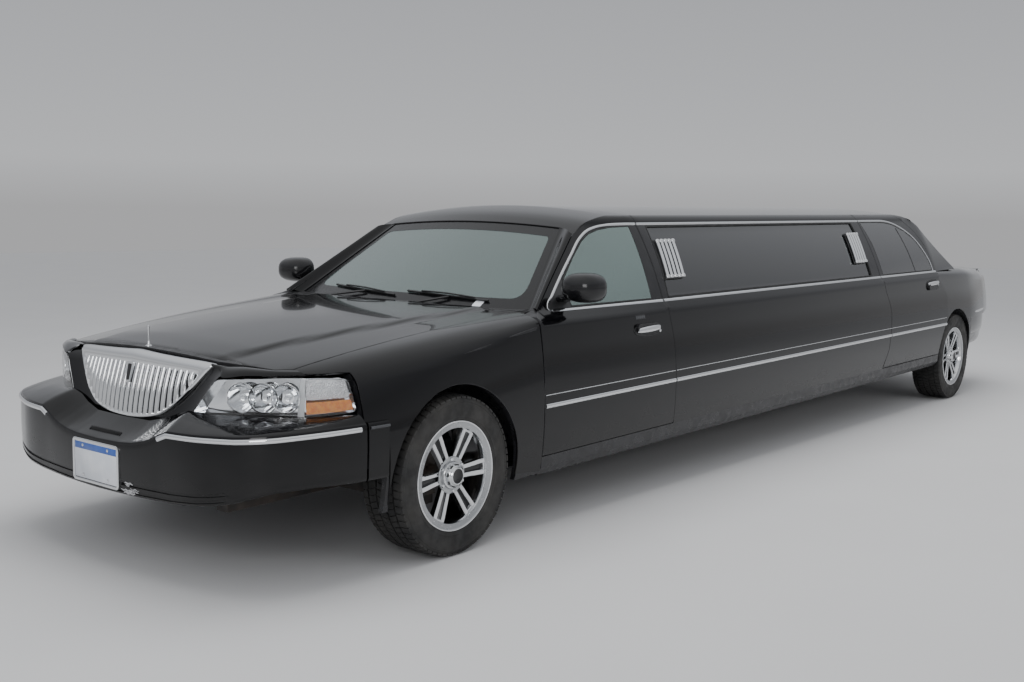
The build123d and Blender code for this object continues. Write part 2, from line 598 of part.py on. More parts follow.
def quarters(shell):
    """Both rear quarters with the deck between them, the wheel houses and the parcel shelf."""
    whole = hull(TAIL_STATIONS)
    body = shell - block(5400, REAR_AXLE, -1150, 1150, 0, 700) - upright(lid_outline(GAP), 700, 1200)
    body = body - block(5400, REAR_AXLE - 110, -880, 880, 900, 1200)
    tail = block(TAIL - 70, TAIL + 20, -1000, 1000, 200, LID_FACE_FOOT + TAIL_RISE + 400)
    body = body - tail
    for sign in (1, -1):
        place = (lambda s: s) if sign > 0 else other_side
        body = body - place(cutter(REAR_DOOR, GAP)) - place(arch(REAR_AXLE, ARCH_RADIUS, 700, 1150))
        liner = (house(REAR_AXLE, REAR_HOUSE_Y, 965, AXLE_Z + 90) & whole) - cutter(REAR_DOOR, GAP)
        body = body + place(liner)
    return body - block(REAR_AXLE + 405, TAIL + 60, -1150, 1150, 100, BUMPER_TOP + TAIL_RISE)


# ---------------------------------------------------------------- bumpers, lamps, grille
LAMP_HEAD = 836.0


def bumper_plan(inset=0.0):
    """Plan of the front bumper's face."""
    right = [(-405, 984 - inset), (-560, 974 - inset), (-780 + inset * 0.2, 922 - inset),
             (-930 + inset * 0.5, 838 - inset), (-1020 + inset * 0.8, 660 - inset / 2), (-1060 + inset, 380)]
    return right + [(-1078 + inset, 0, "via")] + [(x, -y) for x, y in reversed(right)]


def shelf(drop):
    """Upper tier of the bumper, drawn in from its face to the foot of the lamps."""
    top = [(-405, 935), (-548, 930), (-706, 840), (-846, 652), (-905, 520), (-938, 380)]
    ring = top + [(-960, 0, "via")] + [(x, -y) for x, y in reversed(top)]
    low, high = BUMPER_TOP + HOOD_DROP - drop, LAMP_FOOT + HOOD_DROP - drop
    return Solid.make_loft([face(bumper_plan(), plan(low)).outer_wire(), face(ring, plan(high)).outer_wire()], True)


def scoop():
    """Hollow in the bumper's middle, under the grille, with the ledge that closes it."""
    d = HOOD_DROP
    smile = [(-446, 720 + d), (-446, 660 + d), (-341, 588 + d), (0, 546 + d, "via"), (341, 588 + d), (446, 660 + d),
             (446, 720 + d)]
    ledge = across([(-1080, 521), (-930, 590), (-930, 625), (-1080, 556)], -446, 446) & upright(bumper_plan(), 500, 700)
    return front_view(smile, -1100, -880), ledge


def rising_foot():
    """What is cut away below the bumper's corner, where its lower edge rises."""
    d = HOOD_DROP
    corner = [(560, 300 + d), (560, BUMPER_BOTTOM + d), (675, 372 + d), (752, 388 + d), (829, 414 + d), (900, 433 + d),
              (1100, 433 + d), (1100, 300 + d)]
    return front_view(corner, -1100, -400)


def front_bumper():
    low, high = BUMPER_BOTTOM + HOOD_DROP, BUMPER_TOP + HOOD_DROP
    shell = upright(bumper_plan(), low, high) - upright(bumper_plan(SKIN), low - 5, high - SKIN)
    tier = (shelf(0) - shelf(SKIN)) - block(LAMP_END - GAP, 0, -1100, 1100, 0, 900)
    tier = tier - block(RADIATOR_X - 1, 0, -APRON_Y - 8, APRON_Y + 8, 0, 900)
    hollow, ledge = scoop()
    shell = (shell + tier) - hollow + ledge
    shell = shell - upright([(-300, 1100), (-862, 700), (-862, -700), (-300, -1100)], low - 5, high + 5)
    rim = upright(bumper_plan(), low, high) - upright(bumper_plan(SKIN), low - 5, high + 5) - hollow
    pad = block(NOSE + PLATE_THICK, -1030, -140, 140, PLATE_FOOT, PLATE_FOOT + PLATE_HEIGHT)
    groove = block(NOSE - 50, -1066, -620, 620, low + 30, low + 42)
    stays = raised(-1040, -860, RAIL_INNER, RAIL_OUTER, 400, 480)
    wheel_room = arch(0, ARCH_RADIUS + 12, -1150, 1150)
    holes = plate_holes(-1100, -1000)
    foot = rising_foot()
    return shell + rim + pad + stays + other_side(stays) - wheel_room - holes - foot - other_side(foot) \
        - grille_front(-FIT, GRILLE_DEPTH + 2 * FIT, FIT)


PLATE_THICK = 3.0
PLATE_FOOT = 348.0


def plate_holes(x0, x1):
    """The plate's four bolt holes, as bars along the car."""
    dy, dz = PLATE_HOLES
    middle = PLATE_FOOT + PLATE_HEIGHT / 2
    return group(*(bar((x0, sy * dy / 2, middle + sz * dz / 2), (x1, sy * dy / 2, middle + sz * dz / 2), PLATE_HOLE)
                   for sy in (1, -1) for sz in (1, -1)))


def number_plate():
    blank = block(NOSE, NOSE + PLATE_THICK, -PLATE_WIDTH / 2, PLATE_WIDTH / 2, PLATE_FOOT, PLATE_FOOT + PLATE_HEIGHT)
    blank = fillet(blank.edges().filter_by(Axis.X), 12)
    return blank - plate_holes(NOSE - 10, NOSE + 10)


LAMP_LOW = [(-922, 420), (-839, 643), (-703, 831), (-534, 922), (LAMP_END, 922), (LAMP_END, 850), (-660, 770), (-765, 620),
            (-850, 425)]
LAMP_HIGH = [(-886, 527), (-775, 752), (-670, 846), (-560, 906), (-540, 906), (-540, 850), (-650, 780), (-725, 700),
             (-826, 520)]


def headlamp_block(by=0.0):
    """Right headlamp in full: its face leans back and its inner edge slants outward."""
    low, high = LAMP_FOOT + HOOD_DROP - by, LAMP_HEAD + HOOD_DROP + by
    rings = [face(grown(ring, by) if by else ring, plan(z)).outer_wire() for ring, z in ((LAMP_LOW, low), (LAMP_HIGH, high))]
    return Solid.make_loft(rings, True)


def headlamp():
    return headlamp_block() - upright(hood_outline(GAP), 500, 1200)


GRILLE_FOOT_X, GRILLE_HEAD_X = -950.0, -892.0     # its face on the centre line, at these level heights
GRILLE_FOOT_Z, GRILLE_HEAD_Z = 632.0, 893.0
GRILLE_BOW = 5376.0
GRILLE_DEPTH = 30.0
GRILLE_BARS = 22
GRILLE_BAR = 9.0
SHIELD = [(-240, 655), (0, 618, "via"), (240, 655), (325, 712), (383, 768), (463, 866), (0, 892, "via"), (-463, 866),
          (-383, 768), (-325, 712)]
SHIELD_HOLE = [(-225, 670), (0, 638, "via"), (225, 670), (300, 712), (345, 760), (392, 818), (0, 828, "via"), (-392, 818),
               (-345, 760), (-300, 712)]


def grille_front(inset, depth, by=0.0, outline=SHIELD):
    """A slab bowed in plan and leaning back, cut to the grille's front outline."""
    wide, slope = 560.0, (GRILLE_HEAD_X - GRILLE_FOOT_X) / (GRILLE_HEAD_Z - GRILLE_FOOT_Z)
    x = GRILLE_FOOT_X + inset - 60 * slope
    sweep = wide * wide / GRILLE_BOW
    ring = [(x + sweep, -wide), (x, 0, "via"), (x + sweep, wide), (x + depth + sweep, wide), (x + depth, 0, "via"),
            (x + depth + sweep, -wide)]
    high = GRILLE_HEAD_Z - GRILLE_FOOT_Z + 120
    slab = Solid.extrude(face(ring, plan(GRILLE_FOOT_Z - 60 + HOOD_DROP)), Vector(high * slope, 0, high))
    shape = [(p[0], p[1] + HOOD_DROP) + tuple(p[2:]) for p in (grown(outline, by) if by else outline)]
    return slab & front_view(shape, -1100, -700)


def grille():
    """Chrome surround with upright bars."""
    ring = grille_front(0.0, GRILLE_DEPTH) - grille_front(-5.0, GRILLE_DEPTH + 10, 0.0, SHIELD_HOLE)
    reach = SHIELD_HOLE[5][0] - 6
    pitch = 2 * reach / (GRILLE_BARS - 1)
    slats = group(*(block(-1100, -700, y - GRILLE_BAR / 2, y + GRILLE_BAR / 2, 500, 1000)
                    for y in (-reach + pitch * i for i in range(GRILLE_BARS))))
    return ring + (grille_front(8.0, GRILLE_DEPTH - 12, 10.0, SHIELD_HOLE) & slats)


def radiator_panel():
    """Upright panel behind the grille and lamps, between the aprons."""
    panel = raised(RADIATOR_X, RADIATOR_X + 12, -APRON_Y, APRON_Y, 405, 800)
    lamp = headlamp_block(FIT)
    return panel - lamp - other_side(lamp) + raised(-905, RADIATOR_X, -520, -480, 560, 606) \
        + raised(-905, RADIATOR_X, 480, 520, 560, 606)


def rear_bumper_plan(inset=0.0):
    x = REAR_AXLE
    right = [(x + 405, 968 - inset), (x + 700, 936 - inset), (x + 1000, 872 - inset), (x + 1230, 772 - inset),
             (x + 1340 - inset * 0.8, 600)]
    left = [(a, -b) for a, b in reversed(right)]
    return right + [(TAIL - inset, 0, "via")] + left


def rear_bumper():
    low, high = BUMPER_BOTTOM - 15 + TAIL_RISE, BUMPER_TOP + TAIL_RISE
    cover = upright(rear_bumper_plan(), low, high) - upright(rear_bumper_plan(SKIN), low - 5, high - SKIN)
    inner = [(REAR_AXLE + 300, 1100), (TAIL - 90, 640), (TAIL - 90, -640), (REAR_AXLE + 300, -1100)]
    cover = cover - upright(inner, low - 5, high + 5)
    rim = upright(rear_bumper_plan(), low, high) - upright(rear_bumper_plan(SKIN), low - 5, high + 5)
    return cover + rim - arch(REAR_AXLE, ARCH_RADIUS + 12, -1150, 1150)


def rear_panel():
    """Panel across the tail, between the lid and the bumper, with the places of the lamps."""
    up = TAIL_RISE
    return block(TAIL - 70, TAIL - 40, -735, 735, BUMPER_TOP + up, LID_FACE_FOOT - GAP + up) \
        + both_blocks(TAIL - 70, TAIL - 40, 606, 735, 700 + up, 880 + up)


def both_blocks(x0, x1, y0, y1, z0, z1):
    return block(x0, x1, y0, y1, z0, z1) + block(x0, x1, -y1, -y0, z0, z1)


def tail_lamp():
    up = TAIL_RISE
    return block(TAIL - 40, TAIL - 16, 470, 735, BUMPER_TOP + 20 + up, 750 + up) \
        + block(TAIL - 40, TAIL - 16, 606, 735, 700 + up, 876 + up)


# ---------------------------------------------------------------- wheels
SPINDLE_END = WHEEL_Y + RIM_WIDTH / 2 - DISC_RECESS + 8
KNUCKLE_HALF = 150.0    # half height of the kingpin


def tyre():
    """Ring of the tyre for a wheel centred on the origin, axis along y."""
    half, lip = TYRE_WIDTH / 2, RIM_WIDTH / 2 - 16
    top = TYRE_RADIUS
    right = [(RIM_SEAT, lip), (RIM_LIP + 9, half - 8), (top - 55, half), (top - 22, half - 4), (top - 6, half - 22),
             (top, half - 48)]
    ring = [(r, -y) for r, y in right] + right[::-1]
    return revolve(face(ring, lambda p: Vector(p[0], p[1], 0)), Axis.Y, 360)


def rim():
    """Wheel with its barrel, lips, spokes and hub; the outer face is toward +y."""
    half = RIM_WIDTH / 2
    ring = [(RIM_BARREL, -half), (RIM_LIP, -half), (RIM_LIP, -half + 7), (RIM_SEAT - FIT, -half + 13),
            (RIM_SEAT - FIT, half - 13), (RIM_LIP, half - 7), (RIM_LIP, half), (RIM_LIP - 8, half), (RIM_BARREL, half - 22)]
    barrel = revolve(face(ring, lambda p: Vector(p[0], p[1], 0)), Axis.Y, 360)
    outer = half - DISC_RECESS
    wheel = barrel + rod(0, outer - 34, outer + 20, 0, HUB_RADIUS)
    spoke = Pos(0, outer - 16, (HUB_RADIUS + RIM_BARREL) / 2) * Box(76, 26, RIM_BARREL - HUB_RADIUS + 14)
    for i in range(SPOKES):
        wheel = wheel + Rot(0, 360 / SPOKES * i, 0) * spoke
    return wheel - rod(0, outer - 40, outer + 8 + FIT, 0, SPINDLE + RUNNING)


def wheel_pieces(x):
    """Tyre and rim of the right wheel at x."""
    return tuple(Pos(x, WHEEL_Y, AXLE_Z) * piece for piece in (tyre(), rim()))


def knuckle():
    """Right steering knuckle: kingpin, upright and spindle."""
    pin = post(0, KINGPIN_Y, AXLE_Z - KNUCKLE_HALF, AXLE_Z + KNUCKLE_HALF, KINGPIN)
    body = block(-34, 34, KINGPIN_Y - 26, KINGPIN_Y + 26, AXLE_Z - 105 + FIT, AXLE_Z + 105 - FIT)
    return pin + body + rod(0, KINGPIN_Y, SPINDLE_END, AXLE_Z, SPINDLE)


def side_block(x0, x1, y0, y1, z0, z1, sign):
    """A block on the right, or its mirror image on the left."""
    return block(x0, x1, *sorted((sign * y0, sign * y1)), z0, z1)


RAIL_INNER, RAIL_OUTER = 490.0, 556.0
RAIL_HEIGHT = 95.0


def front_suspension():
    """Crossmember with an upper and a lower arm to each kingpin."""
    solid = block(-60, 60, -RAIL_INNER, RAIL_INNER, AXLE_Z - 140, AXLE_Z - 80)
    for sign in (1, -1):
        for low, high in ((AXLE_Z - KNUCKLE_HALF + 5, AXLE_Z - 105), (AXLE_Z + 105, AXLE_Z + KNUCKLE_HALF - 5)):
            arm = side_block(-26, 26, RAIL_INNER - 40, KINGPIN_Y + 20, low, high, sign)
            solid = solid + (arm - post(0, sign * KINGPIN_Y, low - 1, high + 1, KINGPIN + RUNNING))
        solid = solid + side_block(-40, 40, RAIL_INNER - 45, RAIL_INNER, AXLE_Z - 145, AXLE_Z + KNUCKLE_HALF - 5, sign)
    return solid


SHAFT = ((1150, 0, 228), (REAR_AXLE - 100, 0, 300))
SHAFT_RADIUS = 34.0


def rear_axle():
    """Beam axle with its differential, spindles, spring seats and drive shaft."""
    inner = WHEEL_Y - RIM_WIDTH / 2 + 60
    solid = rod(REAR_AXLE, -inner, inner, AXLE_Z, 38) + rod(REAR_AXLE, -SPINDLE_END, SPINDLE_END, AXLE_Z, SPINDLE)
    solid = solid + rod(REAR_AXLE, -95, 95, AXLE_Z, 130)
    top = 430 + lift(REAR_AXLE)
    for sign in (1, -1):
        solid = solid + side_block(REAR_AXLE - 40, REAR_AXLE + 40, RAIL_INNER, RAIL_OUTER, AXLE_Z, top - 1, sign)
    return solid + bar(*SHAFT, SHAFT_RADIUS)


# ---------------------------------------------------------------- underbody
EXHAUST = [(300, 330, 246), (5480, 330, 262), (5730, 330, 490), (6370, 330, 490), (6570, 330, 315), (TAIL - 10, 330, 325)]
PIPE = 28.0
CROSSMEMBERS = (-700.0, 700.0, 1900.0, 3500.0, 4700.0, REAR_AXLE + 560, TAIL - 200)
RAIL_LINE = [(-860, 300), (120, 300), (330, FLOOR - RAIL_HEIGHT), (REAR_AXLE - 480, FLOOR - RAIL_HEIGHT),
             (REAR_AXLE - 300, 430), (REAR_AXLE + 330, 430), (REAR_AXLE + 520, 290), (TAIL - 130, 290)]


def chassis_frame():
    """Ladder frame: two rails kicked up over the rear axle, and crossmembers."""
    high = [(x, z + RAIL_HEIGHT - FIT) for x, z in reversed(RAIL_LINE)]
    rail = across(RAIL_LINE + high, RAIL_INNER, RAIL_OUTER)
    frame = rail + other_side(rail)
    for x in CROSSMEMBERS:
        low = 305 if x < 0 else 300 if x > REAR_AXLE else FLOOR - RAIL_HEIGHT + 8
        frame = frame + raised(x - 35, x + 35, -RAIL_INNER, RAIL_INNER, low, low + 76)
    frame = frame - bar((600, 0, 220), SHAFT[1], SHAFT_RADIUS + 30) - gearbox_room()
    for start, end in zip(EXHAUST, EXHAUST[1:]):
        frame = frame - bar(start, end, PIPE + 12)
    return frame


def gearbox_room():
    return block(380, 1200, -150, 150, 150, 300)


def engine():
    return block(-430, 420, -260, 260, AXLE_Z - 80, 740) + block(380, 1140, -120, 120, 178, AXLE_Z - 73) \
        - block(-61, 61, -600, 600, 0, AXLE_Z - 80)


def exhaust():
    """Tail pipe run with its silencer, one side, carried over the rear axle."""
    pipe = None
    for start, end in zip(EXHAUST, EXHAUST[1:]):
        run = bar(start, end, PIPE)
        pipe = run if pipe is None else pipe + run
    for x, y, z in EXHAUST[1:-1]:
        pipe = pipe + Pos(x, y, z) * Sphere(PIPE)
    pipe = pipe + block(2600, 3300, 240, 420, 205, 290 + lift(2600))
    return pipe - bar((TAIL - 110, 330, 325), (TAIL + 10, 330, 325), PIPE - 3)


def floor_pan():
    """Firewall, floor, rear seat pan and boot floor."""
    def sheet(x0, x1, y, z):
        return along([(-y, z), (y, z), (y, z + SHEET), (-y, z + SHEET)], x0, x1)

    pan = sheet(FIREWALL, 5300 + SHEET, FLOOR_Y, FLOOR) + sheet(5300, 6568, REAR_HOUSE_Y - 1, 525) \
        + sheet(6560, TAIL - 200, 700, 385)
    pan = pan + raised(FIREWALL, FIREWALL + SHEET, -820, 820, FLOOR, 930) \
        + raised(5300, 5300 + SHEET, -FLOOR_Y, FLOOR_Y, FLOOR + 2, 530) + raised(6560, 6568, -700, 700, 387, 530)
    return pan


def fuel_tank():
    top = 385 + lift(6650)
    return block(6650, 7120, -285, 285, 235, top)


# ---------------------------------------------------------------- cabin
def dashboard():
    return across([(700, 640), (700, 962), (985, 935), (1012, 862), (960, 700), (820, 640)], -812, 812) \
        + raised(FIREWALL + SHEET, 705, -60, 60, 800, 840)


WHEEL_HUB = (1080.0, -385.0, 832.0)
WHEEL_TILT = 66.0


def steering_wheel(dash):
    """Steering wheel with its column into the dashboard."""
    at = Pos(*WHEEL_HUB) * Rot(0, WHEEL_TILT, 0)
    ring = at * Torus(182, 15)
    spokes = at * (Box(30, 350, 16) + Box(30, 30, 20)) + at * Pos(85, 0, 0) * Box(180, 30, 16)
    column = at * Pos(0, 0, -85) * Cylinder(28, 170)
    return ring + spokes + column - dash


SEAT = [(1190, 298), (1165, 480), (1200, 560), (1600, 520), (1700, 1020), (1720, 1190), (1815, 1190), (1820, 1020),
        (1740, 500), (1700, 298)]


def front_seats():
    return both(across(SEAT, 135, 635))


def partition():
    wall = along([(-848, FLOOR + SHEET), (-848, 960), (-690, 1340), (-640, 1385), (640, 1385), (690, 1340), (848, 960),
                  (848, FLOOR + SHEET)], 1880, 1905)
    return wall - raised(1870, 1915, -520, 520, 960, 1260)


def lounge_seats():
    """Side bench and rear bench of the passenger cabin."""
    side_bench = along([(-848, 298), (-330, 298), (-330, 640), (-360, 690), (-690, 680), (-740, 960), (-848, 960)],
                       2300, 5060)
    rear = across([(5170, 298), (5170, 680), (5210, 715), (5640, 690), (5770, 1120), (5860, 1120), (5740, 533),
                   (5300, 533), (5300, 298)], -728, 728)
    return side_bench + rear


def bar_cabinet():
    return along([(848, 298), (480, 298), (480, 800), (520, 840), (848, 840)], 2350, 4300)


COACH_LAMP = 30.0       # how far the lamps stand out


def coach_lamps():
    """Ribbed lamp on each pillar, on the outer face of the stretched side."""
    lamps = []
    for x0, x1, lean in ((1748, 1944, 22), (4200, 4394, 20)):
        band = along(outer_side(SILL_TOP, -COACH_LAMP) + outer_side(SILL_TOP, GLASS_INSET - 3 * FIT)[::-1], x0 - 40, x1 + 60)
        lamps.append(band & cutter([(x0 - lean, 1100), (x0, 1316), (x1, 1316), (x1 - lean, 1100)]))
    return both(*lamps)


def main():
    nose, tail = shell_of(NOSE_STATIONS), shell_of(TAIL_STATIONS)
    fd, rd = front_door(), rear_door()
    fg = pane(FRONT_WINDOW, tapered(glass_section, DOOR_FRONT, DOOR_REAR_TOP))
    rg = pane(REAR_WINDOW, along(glass_section(), REAR_DOOR_FRONT_TOP - 40, REAR_AXLE))
    sw = pane(STRETCH_WINDOW, along(glass_section(), DOOR_REAR_TOP, REAR_DOOR_FRONT))
    dash = dashboard()
    pieces = {
        "roof": roof() - hull(TAIL_STATIONS),
        "stretch_sides": both(stretch_side()),
        "stretch_windows": both(sw),
        "windshield": glass_of(WINDSCREEN, 1, 300, 1700),
        "backlight": glass_of(BACKLIGHT, -1, 5000, 6900) - hull(TAIL_STATIONS),
        "front_fenders": both(fender(nose)),
        "cowl": cowl(nose),
        "hood": hood(nose),
        "quarter_panels": quarters(tail),
        "decklid": lid(tail),
        "front_bumper": front_bumper(),
        "number_plate": number_plate(),
        "headlamps": both(headlamp()),
        "grille": grille(),
        "radiator_panel": radiator_panel(),
        "rear_bumper": rear_bumper(),
        "rear_panel": rear_panel(),
        "taillamps": both(tail_lamp()),
        "coach_lamps": coach_lamps(),
        "chassis_frame": chassis_frame(),
        "front_suspension": front_suspension(),
        "rear_axle": rear_axle(),
        "engine": engine(),
        "exhaust": exhaust(),
        "fuel_tank": fuel_tank(),
        "floor_pan": floor_pan(),
        "dashboard": dash,
        "steering_wheel": steering_wheel(dash),
        "front_seats": front_seats(),
        "partition": partition(),
        "lounge_seats": lounge_seats(),
        "bar_cabinet": bar_cabinet(),
    }
    handed = {"door_front": fd, "door_rear": rd, "glass_front": fg, "glass_rear": rg, "mirror": mirror_housing() - fd,
              "knuckle": knuckle()}
    for name, x in (("front", 0.0), ("rear", REAR_AXLE)):
        handed[f"tyre_{name}"], handed[f"rim_{name}"] = wheel_pieces(x)
    for name, shape in handed.items():
        pieces[f"{name}_right"], pieces[f"{name}_left"] = shape, other_side(shape)
    for name, shape in pieces.items():
        save(name, shape)


if __name__ == "__main__":
    main()
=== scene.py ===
"""Looks of the stretch limousine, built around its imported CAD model."""
import math

import bpy
import numpy as np
from mathutils import Matrix, Vector
from mathutils.geometry import delaunay_2d_cdt


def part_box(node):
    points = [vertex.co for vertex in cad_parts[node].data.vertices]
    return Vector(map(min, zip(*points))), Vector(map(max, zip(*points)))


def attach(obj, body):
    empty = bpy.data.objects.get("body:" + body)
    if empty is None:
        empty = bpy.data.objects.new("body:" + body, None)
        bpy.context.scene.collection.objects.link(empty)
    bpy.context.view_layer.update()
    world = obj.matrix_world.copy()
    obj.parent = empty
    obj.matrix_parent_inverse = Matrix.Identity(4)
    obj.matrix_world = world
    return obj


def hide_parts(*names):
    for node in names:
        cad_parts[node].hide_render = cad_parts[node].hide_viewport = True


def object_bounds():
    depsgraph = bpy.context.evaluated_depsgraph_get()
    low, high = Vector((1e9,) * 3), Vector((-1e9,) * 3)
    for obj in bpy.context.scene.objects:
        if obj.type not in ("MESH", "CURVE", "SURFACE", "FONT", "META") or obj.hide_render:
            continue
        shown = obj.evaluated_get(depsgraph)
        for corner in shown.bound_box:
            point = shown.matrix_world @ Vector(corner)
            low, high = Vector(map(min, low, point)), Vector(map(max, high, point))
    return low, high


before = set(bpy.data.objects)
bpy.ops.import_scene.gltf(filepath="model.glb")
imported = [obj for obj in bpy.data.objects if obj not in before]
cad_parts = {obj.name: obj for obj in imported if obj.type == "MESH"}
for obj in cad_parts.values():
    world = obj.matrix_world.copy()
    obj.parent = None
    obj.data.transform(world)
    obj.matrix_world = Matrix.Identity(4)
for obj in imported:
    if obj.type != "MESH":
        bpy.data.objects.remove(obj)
CAD_BOX = [list(corner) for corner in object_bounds()]


def middle(node):
    low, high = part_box(node)
    return (low + high) / 2 * 1000


# ---------------------------------------------------------------- sizes
# Millimetres, x back from the front axle, y to the right; level heights are measured on an unraked body.
FRONT_AXLE = middle("tyre_front_left").x      # the front axle in the frame
WHEELBASE = middle("tyre_rear_left").x - FRONT_AXLE
AXLE_Z = middle("tyre_front_left").z
WHEEL_Y = -middle("tyre_front_left").y
NOSE, TAIL = (corner.x * 1000 - FRONT_AXLE for corner in map(Vector, CAD_BOX))
RAKE, RAKE_FROM = 0.010, 1690.0
GAP = 5.0
REAR_AXLE = WHEELBASE

SILL_TOP, WIDEST, SHOULDER, BELT = 351.0, 620.0, 968.0, 1003.0
RAIL, ROOF_SEAM, ROOF_TOP = 1393.0, 1441.0, 1490.0
HALF_WIDTH, LOW_Y, SHOULDER_Y, BELT_Y, RAIL_Y, SEAM_Y = 995.0, 985.0, 958.0, 925.0, 742.0, 704.0
GLASS_BOW = 15.0
TAPER_BELT, TAPER_RAIL = 41.0, 167.0
TAPER_FROM, TAPER_RUN = 1651.0, 1081.0        # greenhouse draws in ahead of this station
TAIL_TAPER_FROM, TAIL_TAPER_RUN, TAIL_TAPER = REAR_AXLE - 400, 700.0, 0.85

ARCH = 388.0
TYRE, RIM_LIP, RIM_HALF = 343.0, 235.0, 106.0

SCREEN = dict(way=1, foot=598.0, foot_z=1008.0, foot_y=812.0, head=1157.0, head_z=1385.0, head_y=628.0,
              bow=6000.0)
BACK = dict(way=-1, foot=REAR_AXLE + 260, foot_z=1036.0, foot_y=720.0, head=REAR_AXLE - 450, head_z=1430.0,
            head_y=620.0, bow=5200.0)
HOOD_BOW, HOOD_BOW_Y = 50.0, 670.0


def lift(x):
    """Rise of the raked body at station x."""
    return RAKE * (x - RAKE_FROM)


def at(p):
    """A point or an array of points, from car millimetres to frame metres."""
    return (np.asarray(p, float) + (FRONT_AXLE, 0, 0)) / 1000


# ---------------------------------------------------------------- mesh making
class Bits:
    """Gathers mesh parts for one piece. A part is verts in car millimetres, faces and, if it has its own,
    normals."""

    def __init__(self):
        self.verts, self.faces, self.slots, self.normals, self.count = [], [], [], [], 0

    def add(self, part, slot=0):
        verts, faces = np.asarray(part[0], float), part[1]
        self.faces += [tuple(i + self.count for i in f) for f in faces]
        self.slots += [slot] * len(faces)
        self.verts.append(verts)
        self.normals.append(part[2] if len(part) > 2 else np.zeros_like(verts))
        self.count += len(verts)
        return self

    def both(self, part, slot=0):
        """Adds the part and its mirror image."""
        return self.add(part, slot).add((np.asarray(part[0]) * (1, -1, 1), turned(part[1])), slot)

    def piece(self, name, materials, body="car", angle=None, slot=None, stands_for=(), side=1):
        """Makes the object. Without an angle the normals that came with the parts are used."""
        verts, normals, faces = np.concatenate(self.verts), np.concatenate(self.normals), self.faces
        if side < 0:
            verts, normals = verts * (1, -1, 1), normals * (1, -1, 1)
            faces = turned(faces)
        mesh = bpy.data.meshes.new(name)
        mesh.from_pydata(at(verts).tolist(), [], faces)
        for material in materials if isinstance(materials, (list, tuple)) else [materials]:
            mesh.materials.append(material)
        mesh.polygons.foreach_set("material_index", self.slots)
        mesh.polygons.foreach_set("use_smooth", [True] * len(faces))
        mesh.update()
        if angle is None:
            mesh.normals_split_custom_set_from_vertices(normals.tolist())
        else:
            mesh.set_sharp_from_angle(angle=math.radians(angle))
        obj = bpy.data.objects.new(name, mesh)
        bpy.context.scene.collection.objects.link(obj)
        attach(obj, body)
        if stands_for:
            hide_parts(*stands_for)
        return obj


def unit(v):
    v = np.asarray(v, float)
    return v / np.maximum(np.linalg.norm(v, axis=-1, keepdims=True), 1e-12)


def quads(rows, columns, wrap_rows=False, wrap_columns=False, start=0):
    """Faces of a grid of rows x columns points."""
    faces = []
    for i in range(rows if wrap_rows else rows - 1):
        for j in range(columns if wrap_columns else columns - 1):
            a, b = i * columns + j, i * columns + (j + 1) % columns
            c, d = ((i + 1) % rows) * columns + (j + 1) % columns, ((i + 1) % rows) * columns + j
            faces.append((start + a, start + b, start + c, start + d))
    return faces


def turned(faces):
    return [tuple(reversed(f)) for f in faces]


def sheet(rows):
    """A grid of points as a part."""
    rows = np.asarray(rows, float)
    return rows.reshape(-1, 3), quads(rows.shape[0], rows.shape[1])


def revolve(profile, steps=64, axis="y", centre=(0, 0, 0)):
    """A profile of (radius, place along the axis) turned about the y or z axis through centre."""
    angles = np.linspace(0, 2 * np.pi, steps, endpoint=False)
    verts = []
    for r, a in profile:
        ring = np.stack([np.cos(angles) * r, np.full(steps, a), np.sin(angles) * r], 1)
        if axis == "z":
            ring = ring[:, (0, 2, 1)]
        verts.append(ring + centre)
    faces = quads(len(profile), steps, wrap_columns=True)
    return np.concatenate(verts), faces if axis == "y" else turned(faces)


def sweep(path, section, ups, closed=False, caps=True, scale=None):
    """A closed section of (across, up) points carried along a path with an up direction at each point."""
    path, ups = np.asarray(path, float), unit(np.broadcast_to(ups, np.shape(path)))
    if closed:
        ahead = np.roll(path, -1, 0) - np.roll(path, 1, 0)
    else:
        ahead = np.gradient(path, axis=0)
    ahead = unit(ahead)
    across = unit(np.cross(ahead, ups))
    ups = np.cross(across, ahead)
    sizes = np.ones(len(path)) if scale is None else np.asarray(scale, float)
    verts = [p + (a * s[0] + u * s[1]) * k for p, a, u, k in zip(path, across, ups, sizes) for s in section]
    n, m = len(path), len(section)
    faces = quads(n, m, wrap_rows=closed, wrap_columns=True)
    if caps and not closed:
        faces += [tuple(range(m))[::-1], tuple(range((n - 1) * m, n * m))]
    return np.array(verts), faces


def circle(radius, steps=12):
    return [(radius * math.cos(2 * math.pi * i / steps), radius * math.sin(2 * math.pi * i / steps))
            for i in range(steps)]


def half_round(width, height, foot=1.0):
    """Section of a chrome strip: flat back, crowned face. Runs clockwise seen along the path."""
    w = width / 2
    return [(-w, -foot), (w, -foot), (w, height * 0.45), (w * 0.62, height * 0.88), (0, height),
            (-w * 0.62, height * 0.88), (-w, height * 0.45)]


